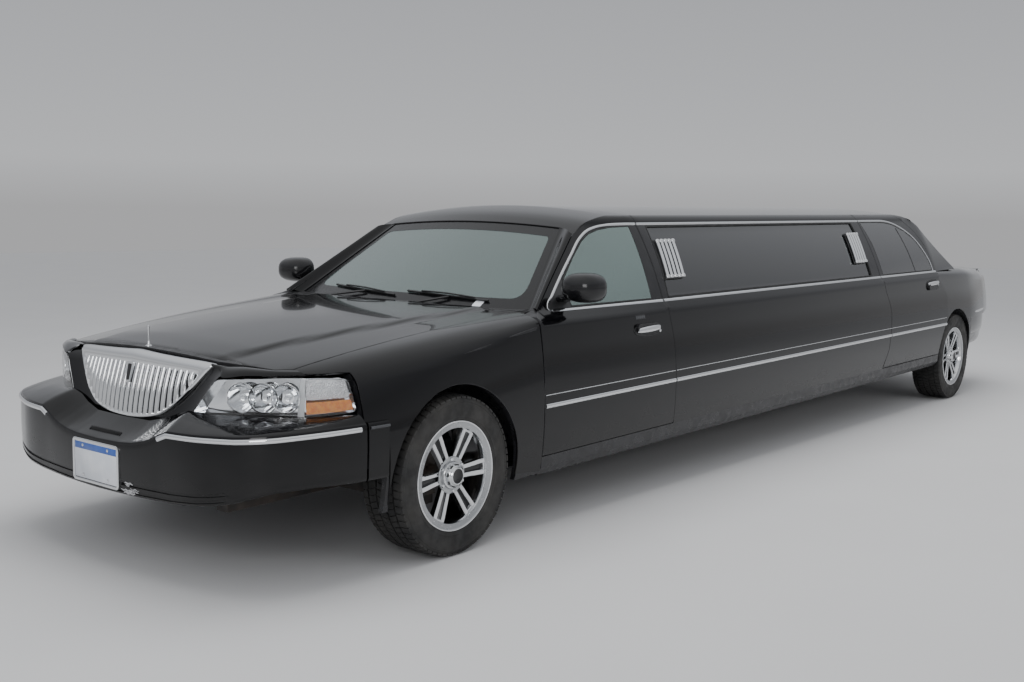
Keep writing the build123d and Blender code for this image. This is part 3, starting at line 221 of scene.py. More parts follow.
def soft_box(x0, x1, y0, y1, z0, z1, r=2.0):
    """A block with chamfered edges."""
    verts, faces = [], []
    for x, sx in ((x0, 1), (x1, -1)):
        for y, sy in ((y0, 1), (y1, -1)):
            for z, sz in ((z0, 1), (z1, -1)):
                verts += [(x, y + sy * r, z + sz * r), (x + sx * r, y, z + sz * r),
                          (x + sx * r, y + sy * r, z)]
    centre = np.array([(x0 + x1) / 2, (y0 + y1) / 2, (z0 + z1) / 2])
    verts = np.array(verts, float)
    corners = [[k * 3, k * 3 + 1, k * 3 + 2] for k in range(8)]
    faces += corners

    def k(i, j, l):
        return 3 * (4 * i + 2 * j + l)
    for i in (0, 1):
        faces.append([k(i, 0, 0), k(i, 1, 0), k(i, 1, 1), k(i, 0, 1)])
        faces.append([k(0, i, 0) + 1, k(1, i, 0) + 1, k(1, i, 1) + 1, k(0, i, 1) + 1])
        faces.append([k(0, 0, i) + 2, k(1, 0, i) + 2, k(1, 1, i) + 2, k(0, 1, i) + 2])
    for i in (0, 1):
        for j in (0, 1):
            faces.append([k(i, j, 0), k(i, j, 1), k(i, j, 1) + 1, k(i, j, 0) + 1])
            faces.append([k(i, 0, j), k(i, 1, j), k(i, 1, j) + 2, k(i, 0, j) + 2])
            faces.append([k(0, i, j) + 1, k(1, i, j) + 1, k(1, i, j) + 2, k(0, i, j) + 2])
    out = []
    for f in faces:
        p = verts[f]
        n = np.cross(p[1] - p[0], p[2] - p[0])
        out.append(tuple(f) if np.dot(n, p.mean(0) - centre) > 0 else tuple(reversed(f)))
    return verts, out


def shifted(part, by):
    return np.asarray(part[0], float) + by, part[1]


def moved(part, matrix):
    """A part turned and shifted by a 4 x 4 matrix."""
    verts, faces = part
    m = np.array(matrix)
    return np.asarray(verts) @ m[:3, :3].T + m[:3, 3], faces


def resampled(ring, step, closed=True):
    """Points along a polyline, no further apart than step, keeping its corners."""
    ring = [np.array(p, float) for p in ring]
    pairs = zip(ring, ring[1:] + ring[:1]) if closed else zip(ring, ring[1:])
    out = []
    for p, q in pairs:
        n = max(1, int(math.ceil(np.linalg.norm(q - p) / step)))
        out += [p + (q - p) * i / n for i in range(n)]
    return np.array(out if closed else out + [ring[-1]])


def rounded(ring, radius):
    """A polygon with its corners rounded; radius is one number or one for each corner."""
    n = len(ring)
    radii = [radius] * n if np.isscalar(radius) else radius
    out = []
    for i, r in enumerate(radii):
        p, q, s = (np.array(ring[(i + k) % n], float) for k in (-1, 0, 1))
        a, b = unit(p - q), unit(s - q)
        turn = math.acos(np.clip(np.dot(a, b), -1, 1))
        if r <= 0 or turn > math.radians(172):
            out.append(q)
            continue
        cut = min(r / math.tan(turn / 2), 0.48 * np.linalg.norm(p - q), 0.48 * np.linalg.norm(s - q))
        for t in np.linspace(0, 1, 7):
            out.append((1 - t) ** 2 * (q + a * cut) + 2 * t * (1 - t) * q + t * t * (q + b * cut))
    return out


def rectangle(a0, a1, b0, b1, radius):
    return rounded([(a0, b0), (a1, b0), (a1, b1), (a0, b1)], radius)


def inside(points, ring):
    """Which points lie in a polygon."""
    x, y = points[:, 0], points[:, 1]
    odd = np.zeros(len(points), bool)
    ring = np.asarray(ring, float)
    for (x0, y0), (x1, y1) in zip(ring, np.roll(ring, -1, 0)):
        if y0 == y1:
            continue
        crosses = ((y0 > y) != (y1 > y)) & (x < (x1 - x0) * (y - y0) / (y1 - y0) + x0)
        odd ^= crosses
    return odd


def area(ring):
    ring = np.asarray(ring, float)
    nxt = np.roll(ring, -1, 0)
    return 0.5 * float(np.sum(ring[:, 0] * nxt[:, 1] - nxt[:, 0] * ring[:, 1]))


def hermite(s, a, b, leave, reach):
    """The cubic curve from a to b with the given slopes, at shares s of the way."""
    return ((2 * s**3 - 3 * s**2 + 1) * a + (s**3 - 2 * s**2 + s) * leave
            + (3 * s**2 - 2 * s**3) * b + (s**3 - s**2) * reach)


def between(grid, i, j):
    """A grid of numbers or points read between its rows and columns."""
    i, j = np.clip(i, 0, len(grid) - 1.001), np.clip(j, 0, grid.shape[1] - 1.001)
    a, b = i.astype(int), j.astype(int)
    fa, fb = i - a, j - b
    if grid.ndim == 3:
        fa, fb = fa[..., None], fb[..., None]
    return (grid[a, b] * (1 - fa) * (1 - fb) + grid[a + 1, b] * fa * (1 - fb) + grid[a, b + 1] * (1 - fa) * fb
            + grid[a + 1, b + 1] * fa * fb)


class Skin:
    """A surface given by points(a, b) -> (n, 3) in car millimetres; side is +1 or -1, for its outer face."""

    def __init__(self, points, side, reach=(25.0, 6.0)):
        self.points, self.side, self.reach = points, side, reach

    def normals(self, ab):
        ha, hb = self.reach
        a, b = ab[:, 0], ab[:, 1]
        along_a = self.points(a + ha, b) - self.points(a - ha, b)
        along_b = self.points(a, b + hb) - self.points(a, b - hb)
        return unit(np.cross(along_a, along_b)) * self.side

    def at(self, ab, out=0.0):
        ab = np.atleast_2d(np.asarray(ab, float))
        n = self.normals(ab)
        return self.points(ab[:, 0], ab[:, 1]) + n * np.reshape(out, (-1, 1)), n


def patch(skin, outline, holes=(), step=40.0, out=0.8, lip=12.0, radius=2.0, thick=0.0, rows=()):
    """A panel on a skin: outline and holes in the skin's own coordinates, with rolled edges, or a closed
    sheet if it has a thickness. Rows are lines of constant second coordinate that the mesh follows.
    Returns verts, faces and normals."""
    rings = [resampled(outline, step / 2)] + [resampled(h, step / 2) for h in holes]
    rings = [r if (area(r) > 0) == (i == 0) else r[::-1] for i, r in enumerate(rings)]
    low, high = rings[0].min(0), rings[0].max(0)
    a, b = (np.arange(low[i] + step / 2, high[i], step) for i in (0, 1))
    inner = np.stack(np.meshgrid(a, b), -1).reshape(-1, 2)
    inner = inner[inside(inner, rings[0])]
    for hole in rings[1:]:
        inner = inner[~inside(inner, hole)]
    edge = np.concatenate(rings)
    lines = []
    for row in rows:
        line = np.stack([np.arange(low[0] + 3, high[0], step / 2),
                         np.full_like(np.arange(low[0] + 3, high[0], step / 2), row)], 1)
        free = inside(line, rings[0])
        for hole in rings[1:]:
            free &= ~inside(line, hole)
        free &= np.min(np.linalg.norm(line[:, None] - edge[None], axis=2), axis=1) > 4
        lines.append((line, free))
    if len(inner):
        near = np.min(np.linalg.norm(inner[:, None] - edge[None], axis=2), axis=1)
        inner = inner[near > step * 0.42]
        for row in rows:
            inner = inner[np.abs(inner[:, 1] - row) > step * 0.25]
    edges, start = [], 0
    for r in rings:
        edges += [(start + i, start + (i + 1) % len(r)) for i in range(len(r))]
        start += len(r)
    points = [edge]
    for line, free in lines:
        number = start + np.cumsum(free) - 1
        edges += [(int(number[i]), int(number[i + 1]))
                  for i in range(len(line) - 1) if free[i] and free[i + 1]]
        points.append(line[free])
        start += int(free.sum())
    points = np.concatenate(points + [inner])
    coords, _, tris, source, _, _ = delaunay_2d_cdt([Vector(p) for p in points], edges, [], 0, 1e-5)
    coords = np.array([tuple(c) for c in coords])
    tris = np.array([tuple(t) for t in tris])
    centres = coords[tris].mean(1)
    keep = inside(centres, rings[0])
    for hole in rings[1:]:
        keep &= ~inside(centres, hole)
    tris = tris[keep]
    new_of = {}
    for i, old in enumerate(source):
        for o in old:
            new_of[o] = i
    turn = tris if skin.side > 0 else tris[:, ::-1]
    top, n = skin.at(coords, out)
    verts, normals, faces = [top], [n], [tuple(t) for t in turn]
    count = len(top)
    if thick:
        under, _ = skin.at(coords, out - thick)
        verts.append(under)
        normals.append(-n)
        faces += [tuple(reversed([i + count for i in t])) for t in turn]
        count *= 2
    start = 0
    for r in rings:
        ids = [new_of[start + i] for i in range(len(r))]
        start += len(r)
        rim, rn = top[ids], n[ids]
        ahead = unit(np.roll(rim, -1, 0) - np.roll(rim, 1, 0))
        away = unit(np.cross(ahead, rn)) * skin.side
        if thick:
            layers = [(rim, away), (rim - rn * thick, away)]
        else:
            bend = [(1.0, 0.0, 0.0), (0.8, 0.55, 0.45), (0.0, 1.0, 1.0)]
            layers = [(rim + away * radius * o - rn * radius * d, unit(rn * f + away * (1 - f)))
                      for f, o, d in bend]
            layers.append((rim + away * radius - rn * lip, away))
        m = len(r)
        for pts, nn in layers:
            verts.append(pts)
            normals.append(nn)
        band = quads(len(layers), m, wrap_columns=True, start=count)
        faces += band if skin.side < 0 else turned(band)
        count += m * len(layers)
    return np.concatenate(verts), faces, np.concatenate(normals)


# ---------------------------------------------------------------- body surfaces
def arc_y(z, p, q, r):
    """y at height z on the outer side of the circle through three (y, z) points."""
    (y1, z1), (y2, z2), (y3, z3) = p, q, r
    d = 2 * (y1 * (z2 - z3) + y2 * (z3 - z1) + y3 * (z1 - z2))
    s1, s2, s3 = y1 * y1 + z1 * z1, y2 * y2 + z2 * z2, y3 * y3 + z3 * z3
    cy = (s1 * (z2 - z3) + s2 * (z3 - z1) + s3 * (z1 - z2)) / d
    cz = (s1 * (y3 - y2) + s2 * (y1 - y3) + s3 * (y2 - y1)) / d
    radius2 = (y1 - cy) ** 2 + (z1 - cz) ** 2
    return cy + np.sqrt(np.maximum(radius2 - (z - cz) ** 2, 0))


def taper(x):
    """How far the greenhouse draws in at x, as a share of its full taper."""
    front = (TAPER_FROM - x) / TAPER_RUN
    rear = (x - TAIL_TAPER_FROM) / TAIL_TAPER_RUN * TAIL_TAPER
    return np.where(x < 3000, np.maximum(front, 0), np.maximum(rear, 0))


def side_y(x, z):
    """Half width of the body side at station x and level height z, from the sill to the roof seam."""
    x, z = np.asarray(x, float), np.asarray(z, float)
    t = taper(x)
    belt = BELT_Y - np.where(x < 3000, TAPER_BELT, 35 / TAIL_TAPER) * t
    top = np.where(x < 3000, TAPER_RAIL, 142 / TAIL_TAPER) * t
    rail, seam = RAIL_Y - top, SEAM_Y - top
    low = arc_y(z, (LOW_Y, SILL_TOP), (HALF_WIDTH, WIDEST), (SHOULDER_Y, SHOULDER))
    ledge = SHOULDER_Y + (belt - SHOULDER_Y) * (z - SHOULDER) / (BELT - SHOULDER)
    glass = arc_y(z, (belt, BELT), ((belt + rail) / 2 + GLASS_BOW, (BELT + RAIL) / 2), (rail, RAIL))
    over = arc_y(np.minimum(z, ROOF_SEAM + 8), (rail, RAIL),
                 ((rail + seam) / 2 + 7, (RAIL + ROOF_SEAM) / 2 + 4), (seam, ROOF_SEAM))
    return np.where(z <= SHOULDER, low, np.where(z <= BELT, ledge, np.where(z <= RAIL, glass, over)))


def side_points(inset=0.0):
    def points(x, z):
        return np.stack([x, side_y(x, z) - inset, z + lift(x)], -1)
    return points


def height_skin(height, side=1, reach=(12.0, 12.0)):
    """Skin of a surface given by its level height over station and half width."""
    return Skin(lambda x, y: np.stack([x, y, height(x, y) + lift(x)], -1), side, reach)


SIDE = Skin(side_points(), -1, (60.0, 5.0))
SIDE_GLASS = Skin(side_points(6.5), -1, (60.0, 10.0))


def blend(table, x):
    """Smooth monotone interpolation of a table of rows, whose first column is the station."""
    table = np.array(table, float)
    xs, ys = table[:, 0], table[:, 1:]
    order = np.argsort(xs)
    xs, ys = xs[order], ys[order]
    h = np.diff(xs)[:, None]
    d = np.diff(ys, axis=0) / h
    m = np.zeros_like(ys)
    same = d[:-1] * d[1:] > 0
    w1, w2 = 2 * h[1:] + h[:-1], h[1:] + 2 * h[:-1]
    with np.errstate(divide="ignore", invalid="ignore"):
        m[1:-1] = np.where(same, (w1 + w2) / (w1 / d[:-1] + w2 / d[1:]), 0)
    m[0], m[-1] = d[0], d[-1]
    x = np.clip(np.asarray(x, float), xs[0] - 80, xs[-1] + 80)
    i = np.clip(np.searchsorted(xs, x) - 1, 0, len(xs) - 2)
    step = (xs[i + 1] - xs[i])[..., None]
    s = ((x - xs[i])[..., None]) / step
    return hermite(s, ys[i], ys[i + 1], step * m[i], step * m[i + 1])


# station, half width low, widest, at the shoulder (and its height), at the edge (height), lid height, crown
NOSE_TABLE = [
    (640, 985, 995, 958, 960, 888, 994, 999, 1006),
    (-100, 983, 993, 955, 845, 885, 912, 939, 966),
    (-600, 930, 945, 905, 775, 845, 840, 880, 925),
    (-900, 825, 835, 800, 720, 740, 800, 830, 892)]
TAIL_TABLE = [
    (REAR_AXLE - 460, 985, 995, 958, 968, 925, 1003, 1012, 1022),
    (REAR_AXLE + 320, 970, 980, 935, 935, 868, 990, 1006, 1026),
    (REAR_AXLE + 900, 890, 900, 862, 895, 800, 955, 975, 1005),
    (TAIL - 40, 780, 790, 755, 870, 700, 935, 950, 975)]
FOOT_Z, FLAT_Y = 276.0, 708.0
SAMPLES = 160


def half_section(row):
    """Half section of the nose or tail from its foot over the top to the centre line: SAMPLES (y, z)."""
    low, wide, sy, sz, ey, ez, flat, crown = row
    z = np.linspace(FOOT_Z, sz, 60)
    barrel = np.stack([arc_y(z, (low, SILL_TOP), (wide, WIDEST), (sy, sz)), z], 1)
    p = [np.array(q, float) for q in ((sy, sz), (ey, ez), (FLAT_Y, flat))]
    slope = [unit(barrel[-1] - barrel[-2]), unit(unit(p[1] - p[0]) + unit(p[2] - p[1])),
             unit(np.array([-1.0, 2 * (crown - flat) / FLAT_Y]))]
    bend = []
    for a, b, ta, tb, n in ((p[0], p[1], slope[0], slope[1], 22), (p[1], p[2], slope[1], slope[2], 22)):
        chord = np.linalg.norm(b - a)
        s = np.linspace(0, 1, n)[1:, None]
        bend.append(hermite(s, a, b, chord * ta, chord * tb))
    y = np.linspace(FLAT_Y, 0, 50)[1:]
    top = np.stack([y, crown - (crown - flat) * (y / FLAT_Y) ** 2], 1)
    full = np.concatenate([barrel] + bend + [top])
    run = np.concatenate([[0], np.cumsum(np.linalg.norm(np.diff(full, axis=0), axis=1))])
    even = np.linspace(0, run[-1], SAMPLES)
    return np.stack([np.interp(even, run, full[:, i]) for i in (0, 1)], 1)


class End:
    """The nose or the tail: coordinates are the station and a share of the half section, times RUN."""
    RUN = 1700.0

    def __init__(self, table, x0, x1):
        self.xs = np.arange(x0, x1 + 1, 10.0)
        rows = blend(table, self.xs)
        self.grid = np.array([half_section(r) for r in rows])

    def half(self, x, u):
        return between(self.grid, (np.asarray(x, float) - self.xs[0]) / 10.0,
                       np.asarray(u, float) / self.RUN * (SAMPLES - 1))

    def points(self, x, u):
        yz = self.half(x, u)
        return np.stack([x, yz[..., 0], yz[..., 1] + lift(x)], -1)

    def u_at_z(self, x, z):
        yz = self.half(float(x), np.linspace(0, self.RUN, 400))
        first = int(np.argmax(yz[:, 1] >= z))
        return first / 399 * self.RUN

    def u_at_y(self, x, y):
        yz = self.half(float(x), np.linspace(0, self.RUN, 600))[200:]
        return (200 + int(np.argmin(np.abs(yz[:, 0] - y)))) / 599 * self.RUN


nose_end, tail_end = End(NOSE_TABLE, -1000, 700), End(TAIL_TABLE, REAR_AXLE - 520, TAIL + 20)
NOSE_SKIN = Skin(nose_end.points, -1, (20.0, 12.0))
TAIL_SKIN = Skin(tail_end.points, -1, (20.0, 12.0))


def screen_x(spec, y, z):
    """Station of a screen's outer face."""
    lean = (spec["head"] - spec["foot"]) / (spec["head_z"] - spec["foot_z"])
    return spec["foot"] + lean * (z - spec["foot_z"]) + spec["way"] * y * y / spec["bow"]


# ---------------------------------------------------------------- materials
def new_material(name, color, rough, metal=0.0, **sockets):
    """A Principled material; further socket values by name, with _ for a blank."""
    material = bpy.data.materials.new(name)
    material.use_nodes = True
    shader = material.node_tree.nodes["Principled BSDF"]
    shader.inputs["Base Color"].default_value = (*color, 1)
    shader.inputs["Roughness"].default_value = rough
    shader.inputs["Metallic"].default_value = metal
    for key, value in sockets.items():
        shader.inputs[key.replace("_", " ")].default_value = value
    return material, shader


def wire(material, kind, **values):
    node = material.node_tree.nodes.new(kind)
    for key, value in values.items():
        if hasattr(node, key):
            setattr(node, key, value)
        else:
            node.inputs[key.replace("_", " ")].default_value = value
    return node


def link(material, a, b):
    material.node_tree.links.new(a, b)


def coordinates(material, scale=(1, 1, 1)):
    coords = wire(material, "ShaderNodeTexCoord")
    mapping = wire(material, "ShaderNodeMapping")
    mapping.inputs["Scale"].default_value = scale
    link(material, coords.outputs["Object"], mapping.inputs["Vector"])
    return mapping.outputs["Vector"]


def mottle(material, shader, scale, low, high, stretch=(1, 1, 1), detail=4.0):
    """Roughness that wanders between two values."""
    noise = wire(material, "ShaderNodeTexNoise", Scale=scale, Detail=detail)
    link(material, coordinates(material, stretch), noise.inputs["Vector"])
    span = wire(material, "ShaderNodeMapRange", From_Min=0.35, From_Max=0.65, To_Min=low, To_Max=high)
    link(material, noise.outputs["Fac"], span.inputs["Value"])
    link(material, span.outputs["Result"], shader.inputs["Roughness"])
    return noise


def tint(material, shader, a, b, scale, detail=5.0, low=0.4, high=0.6, stretch=(1, 1, 1), noise=None):
    """Base colour that varies between two colours."""
    if noise is None:
        noise = wire(material, "ShaderNodeTexNoise", Scale=scale, Detail=detail)
        link(material, coordinates(material, stretch), noise.inputs["Vector"])
    ramp = wire(material, "ShaderNodeValToRGB")
    ramp.color_ramp.elements[0].position, ramp.color_ramp.elements[1].position = low, high
    ramp.color_ramp.elements[0].color, ramp.color_ramp.elements[1].color = (*a, 1), (*b, 1)
    link(material, noise.outputs["Fac"], ramp.inputs["Fac"])
    link(material, ramp.outputs["Color"], shader.inputs["Base Color"])
    return ramp


def relief(material, shader, scale, strength, distance=0.001, kind="noise", stretch=(1, 1, 1), detail=3.0):
    """Fine bump."""
    if kind == "cells":
        tex = wire(material, "ShaderNodeTexVoronoi", Scale=scale)
        out = tex.outputs["Distance"]
    else:
        tex = wire(material, "ShaderNodeTexNoise", Scale=scale, Detail=detail)
        out = tex.outputs["Fac"]
    link(material, coordinates(material, stretch), tex.inputs["Vector"])
    bump = wire(material, "ShaderNodeBump", Strength=strength, Distance=distance)
    link(material, out, bump.inputs["Height"])
    link(material, bump.outputs["Normal"], shader.inputs["Normal"])
    return bump


def paint_material():
    """Black enamel under clear coat, with road dust low on the body."""
    m, s = new_material("gloss_paint", (0.003, 0.003, 0.0035), 0.2, Specular_IOR_Level=0.08, Coat_Weight=0.68,
                        Coat_Roughness=0.02, Coat_IOR=1.45)
    coords = wire(m, "ShaderNodeTexCoord")
    split = wire(m, "ShaderNodeSeparateXYZ")
    link(m, coords.outputs["Object"], split.inputs["Vector"])
    noise = wire(m, "ShaderNodeTexNoise", Scale=5.0, Detail=8.0)
    link(m, coordinates(m, (1, 1, 2.4)), noise.inputs["Vector"])
    low = wire(m, "ShaderNodeMapRange", From_Min=0.62, From_Max=0.24, To_Min=0.0, To_Max=1.0)
    link(m, split.outputs["Z"], low.inputs["Value"])
    dust = wire(m, "ShaderNodeMath", operation="MULTIPLY")
    link(m, low.outputs["Result"], dust.inputs[0])
    link(m, noise.outputs["Fac"], dust.inputs[1])
    ramp = wire(m, "ShaderNodeValToRGB")
    ramp.color_ramp.elements[0].color = (0.0022, 0.0022, 0.0028, 1)
    ramp.color_ramp.elements[1].color = (0.018, 0.017, 0.016, 1)
    ramp.color_ramp.elements[0].position = 0.08
    link(m, dust.outputs[0], ramp.inputs["Fac"])
    link(m, ramp.outputs["Color"], s.inputs["Base Color"])
    rough = wire(m, "ShaderNodeMapRange", From_Min=0.1, From_Max=0.6, To_Min=0.14, To_Max=0.5)
    link(m, dust.outputs[0], rough.inputs["Value"])
    link(m, rough.outputs["Result"], s.inputs["Roughness"])
    relief(m, s, 260.0, 0.03, 0.0002)
    return m


def chrome_material(name="chrome", color=(0.80, 0.81, 0.82), low=0.05, high=0.13):
    m, s = new_material(name, color, low, 1.0)
    mottle(m, s, 9.0, low, high)
    relief(m, s, 120.0, 0.02, 0.0002)
    return m


def glass_material(name, color):
    m, s = new_material(name, color, 0.02, 0.0, Transmission_Weight=1.0, IOR=1.45)
    mottle(m, s, 3.0, 0.0, 0.03)
    return m


def tinted_glass(name, color, alpha):
    """Thin tinted glass with a haze of sky in it."""
    m, s = new_material(name, color, 0.02, Coat_Weight=1.0, Coat_Roughness=0.01, Alpha=alpha)
    tint(m, s, color, tuple(c * 0.9 for c in color), 0.8, 1.0)
    mottle(m, s, 3.0, 0.02, 0.05)
    return m


def plastic_material(name, a, b, low, high, grain=900.0, strength=0.15):
    m, s = new_material(name, a, low)
    tint(m, s, a, b, 14.0)
    mottle(m, s, 30.0, low, high)
    relief(m, s, grain, strength, 0.0004)
    return m


def leather_material(name, a, b):
    m, s = new_material(name, a, 0.4, Coat_Weight=0.12, Coat_Roughness=0.3)
    tint(m, s, a, b, 6.0)
    mottle(m, s, 20.0, 0.34, 0.52)
    relief(m, s, 420.0, 0.35, 0.0006, "cells")
    return m


def tyre_material():
    m, s = new_material("tyre_rubber", (0.02, 0.02, 0.02), 0.7)
    tint(m, s, (0.014, 0.014, 0.014), (0.04, 0.038, 0.035), 7.0, low=0.35, high=0.75)
    mottle(m, s, 25.0, 0.55, 0.85)
    relief(m, s, 500.0, 0.2, 0.0004)
    return m


def metal_material(name, a, b, low, high, metal=0.6, scale=12.0):
    m, s = new_material(name, a, low, metal)
    tint(m, s, a, b, scale, low=0.35, high=0.7)
    mottle(m, s, 18.0, low, high)
    relief(m, s, 150.0, 0.25, 0.001)
    return m


PAINT = paint_material()
CHROME = chrome_material()
WHEEL_CHROME = chrome_material("wheel_chrome", (0.74, 0.75, 0.76), 0.07, 0.18)
POLISHED_RIM = chrome_material("polished_rim", (0.46, 0.47, 0.48), 0.22, 0.34)
SCREEN_GLASS = tinted_glass("screen_glass", (0.105, 0.150, 0.144), 0.80)
LENS_GLASS = glass_material("lens_glass", (0.96, 0.97, 0.98))
RED_GLASS = glass_material("red_lens", (0.85, 0.02, 0.02))
DARK_GLASS, _dark = new_material("privacy_glass", (0.006, 0.007, 0.008), 0.03, Coat_Weight=1.0,
                                 Coat_Roughness=0.01, Alpha=0.94)
mottle(DARK_GLASS, _dark, 3.0, 0.02, 0.06)
SMOKE_GLASS = tinted_glass("door_glass", (0.13, 0.185, 0.175), 0.76)
WOOD, _wood = new_material("burr_wood", (0.16, 0.06, 0.025), 0.12, Coat_Weight=0.8, Coat_Roughness=0.05)
tint(WOOD, _wood, (0.10, 0.035, 0.014), (0.24, 0.10, 0.04), 5.0, stretch=(1, 6, 6))
mottle(WOOD, _wood, 30.0, 0.1, 0.2)
RED_CORE = plastic_material("red_plastic", (0.30, 0.008, 0.008), (0.42, 0.012, 0.012), 0.15, 0.3, 300.0, 0.05)
MIRROR = chrome_material("mirror_glass", (0.70, 0.73, 0.75), 0.01, 0.03)
LINING_CLOTH = plastic_material("headlining_cloth", (0.10, 0.10, 0.105), (0.14, 0.14, 0.145), 0.85, 1.0,
                                1600.0, 0.6)
BODY_INNER = plastic_material("body_enamel", (0.008, 0.008, 0.009), (0.014, 0.014, 0.016), 0.25, 0.4, 500.0,
                              0.05)
FRIT, _frit = new_material("frit", (0.006, 0.006, 0.007), 0.15)
mottle(FRIT, _frit, 60.0, 0.1, 0.25)
BLACK = plastic_material("black_plastic", (0.012, 0.012, 0.013), (0.022, 0.022, 0.023), 0.35, 0.5)
GLOSS_BLACK = plastic_material("gloss_black", (0.006, 0.006, 0.007), (0.01, 0.01, 0.011), 0.1, 0.2, 300.0,
                               0.03)
GREY = plastic_material("grey_plastic", (0.045, 0.047, 0.052), (0.07, 0.072, 0.078), 0.4, 0.55)
RUBBER = plastic_material("rubber", (0.012, 0.012, 0.012), (0.02, 0.02, 0.02), 0.6, 0.8)
TRIM_DARK = plastic_material("cabin_trim", (0.03, 0.03, 0.032), (0.05, 0.05, 0.053), 0.45, 0.6)
CARPET = plastic_material("carpet", (0.02, 0.02, 0.022), (0.05, 0.05, 0.052), 0.85, 1.0, 1400.0, 0.9)
LEATHER = leather_material("leather", (0.03, 0.03, 0.033), (0.055, 0.055, 0.06))
TYRE_RUBBER = tyre_material()
FRAME_PAINT = metal_material("frame_paint", (0.02, 0.02, 0.02), (0.06, 0.045, 0.035), 0.5, 0.75, 0.1)
CAST = metal_material("cast_iron", (0.09, 0.088, 0.085), (0.15, 0.12, 0.1), 0.5, 0.7, 0.7)
STEEL = metal_material("exhaust_steel", (0.35, 0.34, 0.32), (0.22, 0.17, 0.13), 0.3, 0.5, 0.9)
PLATE_WHITE = plastic_material("plate_white", (0.72, 0.75, 0.80), (0.80, 0.82, 0.86), 0.3, 0.42, 200.0, 0.02)
PLATE_BLUE = plastic_material("plate_blue", (0.05, 0.12, 0.42), (0.07, 0.15, 0.48), 0.3, 0.42, 200.0, 0.02)


# ---------------------------------------------------------------- painted body panels
def grown(ring, by):
    """A polygon with its sides moved outward."""
    ring = np.array([p[:2] for p in ring], float)
    before, after = unit(ring - np.roll(ring, 1, 0)), unit(np.roll(ring, -1, 0) - ring)
    way = 1 if area(ring) > 0 else -1
    n0, n1 = (np.stack([v[:, 1], -v[:, 0]], 1) * way for v in (before, after))
    return ring + (n0 + n1) * (by / (1 + np.sum(n0 * n1, 1)))[:, None]


FRONT_DOOR = [(573, 356), (573, 955), (587, 984), (644, 1006), (1153, 1344), (1291, 1407), (1395, 1430),
              (1480, 1441), (1651, 1441), (1651, 1003), (1663, 920), (1687, 775), (1697, 600), (1697, 356)]
FRONT_WINDOW = [(885, 1015), (915, 1088), (1196, 1289), (1290, 1336), (1400, 1362), (1588, 1376),
                (1553, 1015)]
R = REAR_AXLE
REAR_DOOR = [(R - 1503, 356), (R - 1421, 478), (R - 1399, 600), (R - 1391, 742), (R - 1410, 801),
             (R - 1466, 900), (R - 1486, 1003), (R - 1504, 1393), (R - 1540, 1441), (R - 815, 1441),
             (R - 660, 1392), (R - 530, 1310), (R - 440, 1200), (R - 383, 1003), (R - 398, 945),
             (R - 317, 878), (R - 253, 818), (R - 238, 770)]
REAR_WINDOW = [(R - 1419, 1015), (R - 1431, 1233), (R - 1475, 1376), (R - 1050, 1371), (R - 865, 1338),
               (R - 700, 1285), (R - 560, 1190), (R - 486, 1015)]
STRETCH_WINDOW = [(1716, 1015), (1741, 1384), (R - 1640, 1384), (R - 1630, 1015)]
CREASES = (968.0, 1003.0, 1393.0, 1402.0, 1411.0, 1420.0, 1430.0)


def arch_ring(x, radius, z0, z1, steps=40):
    """Arc of a wheel arch from its front foot to its rear foot, in level heights."""
    middle_z = AXLE_Z - lift(x)
    start, end = (math.acos(np.clip((z - middle_z) / radius, -1, 1)) for z in (z0, z1))
    angles = np.linspace(-start, end, steps)
    return [(x + radius * math.sin(a), middle_z + radius * math.cos(a)) for a in angles]


def pair(name, fill, materials, body="car", angle=None, slot=None, stands_for=()):
    """Right and left copies of a piece: fill is its right part, or a function that adds parts to the bits.
    A body or node name has {} for the side."""
    out = []
    for side, word in ((1, "right"), (-1, "left")):
        bits = Bits()
        if callable(fill):
            fill(bits)
        else:
            bits.add(fill)
        out.append(bits.piece(f"{name}_{word}", materials, body.format(word), angle, slot,
                              [n.format(word) for n in stands_for], side))
    return out


def single(name, part, materials, body="car", angle=None, slot=None, stands_for=()):
    return Bits().add(part).piece(name, materials, body, angle, slot, stands_for)


front_door_ring = rounded(FRONT_DOOR, [30, 12, 8, 6, 20, 40, 30, 0, 12, 8, 30, 60, 80, 18])
rear_cut = arch_ring(R, ARCH + GAP, 356, 700)
rear_low = [p for p in rear_cut if p[0] < R - 240 and 356 <= p[1] <= 700]
rear_door_ring = rounded(REAR_DOOR, [14, 60, 60, 60, 40, 40, 8, 8, 8, 30, 60, 60, 60, 8, 10, 20, 20, 12]) \
    + [(rear_low[-1][0] + 2, rear_low[-1][1] + 6)] + rear_low[::-1] + [(rear_low[0][0], 356)]
front_window_ring = rounded(FRONT_WINDOW, [16, 20, 40, 60, 60, 14, 10])
rear_window_ring = rounded(REAR_WINDOW, [10, 30, 12, 50, 80, 80, 80, 14])
stretch_window_ring = rounded(STRETCH_WINDOW, [10, 16, 16, 10])


def panel(name, skin, ring, holes=(), material=PAINT, body="car", slot="paint", stands_for=(), **how):
    """A painted panel on both sides of the car."""
    return pair(name, patch(skin, ring, holes, **how), material, body, None, slot, stands_for)


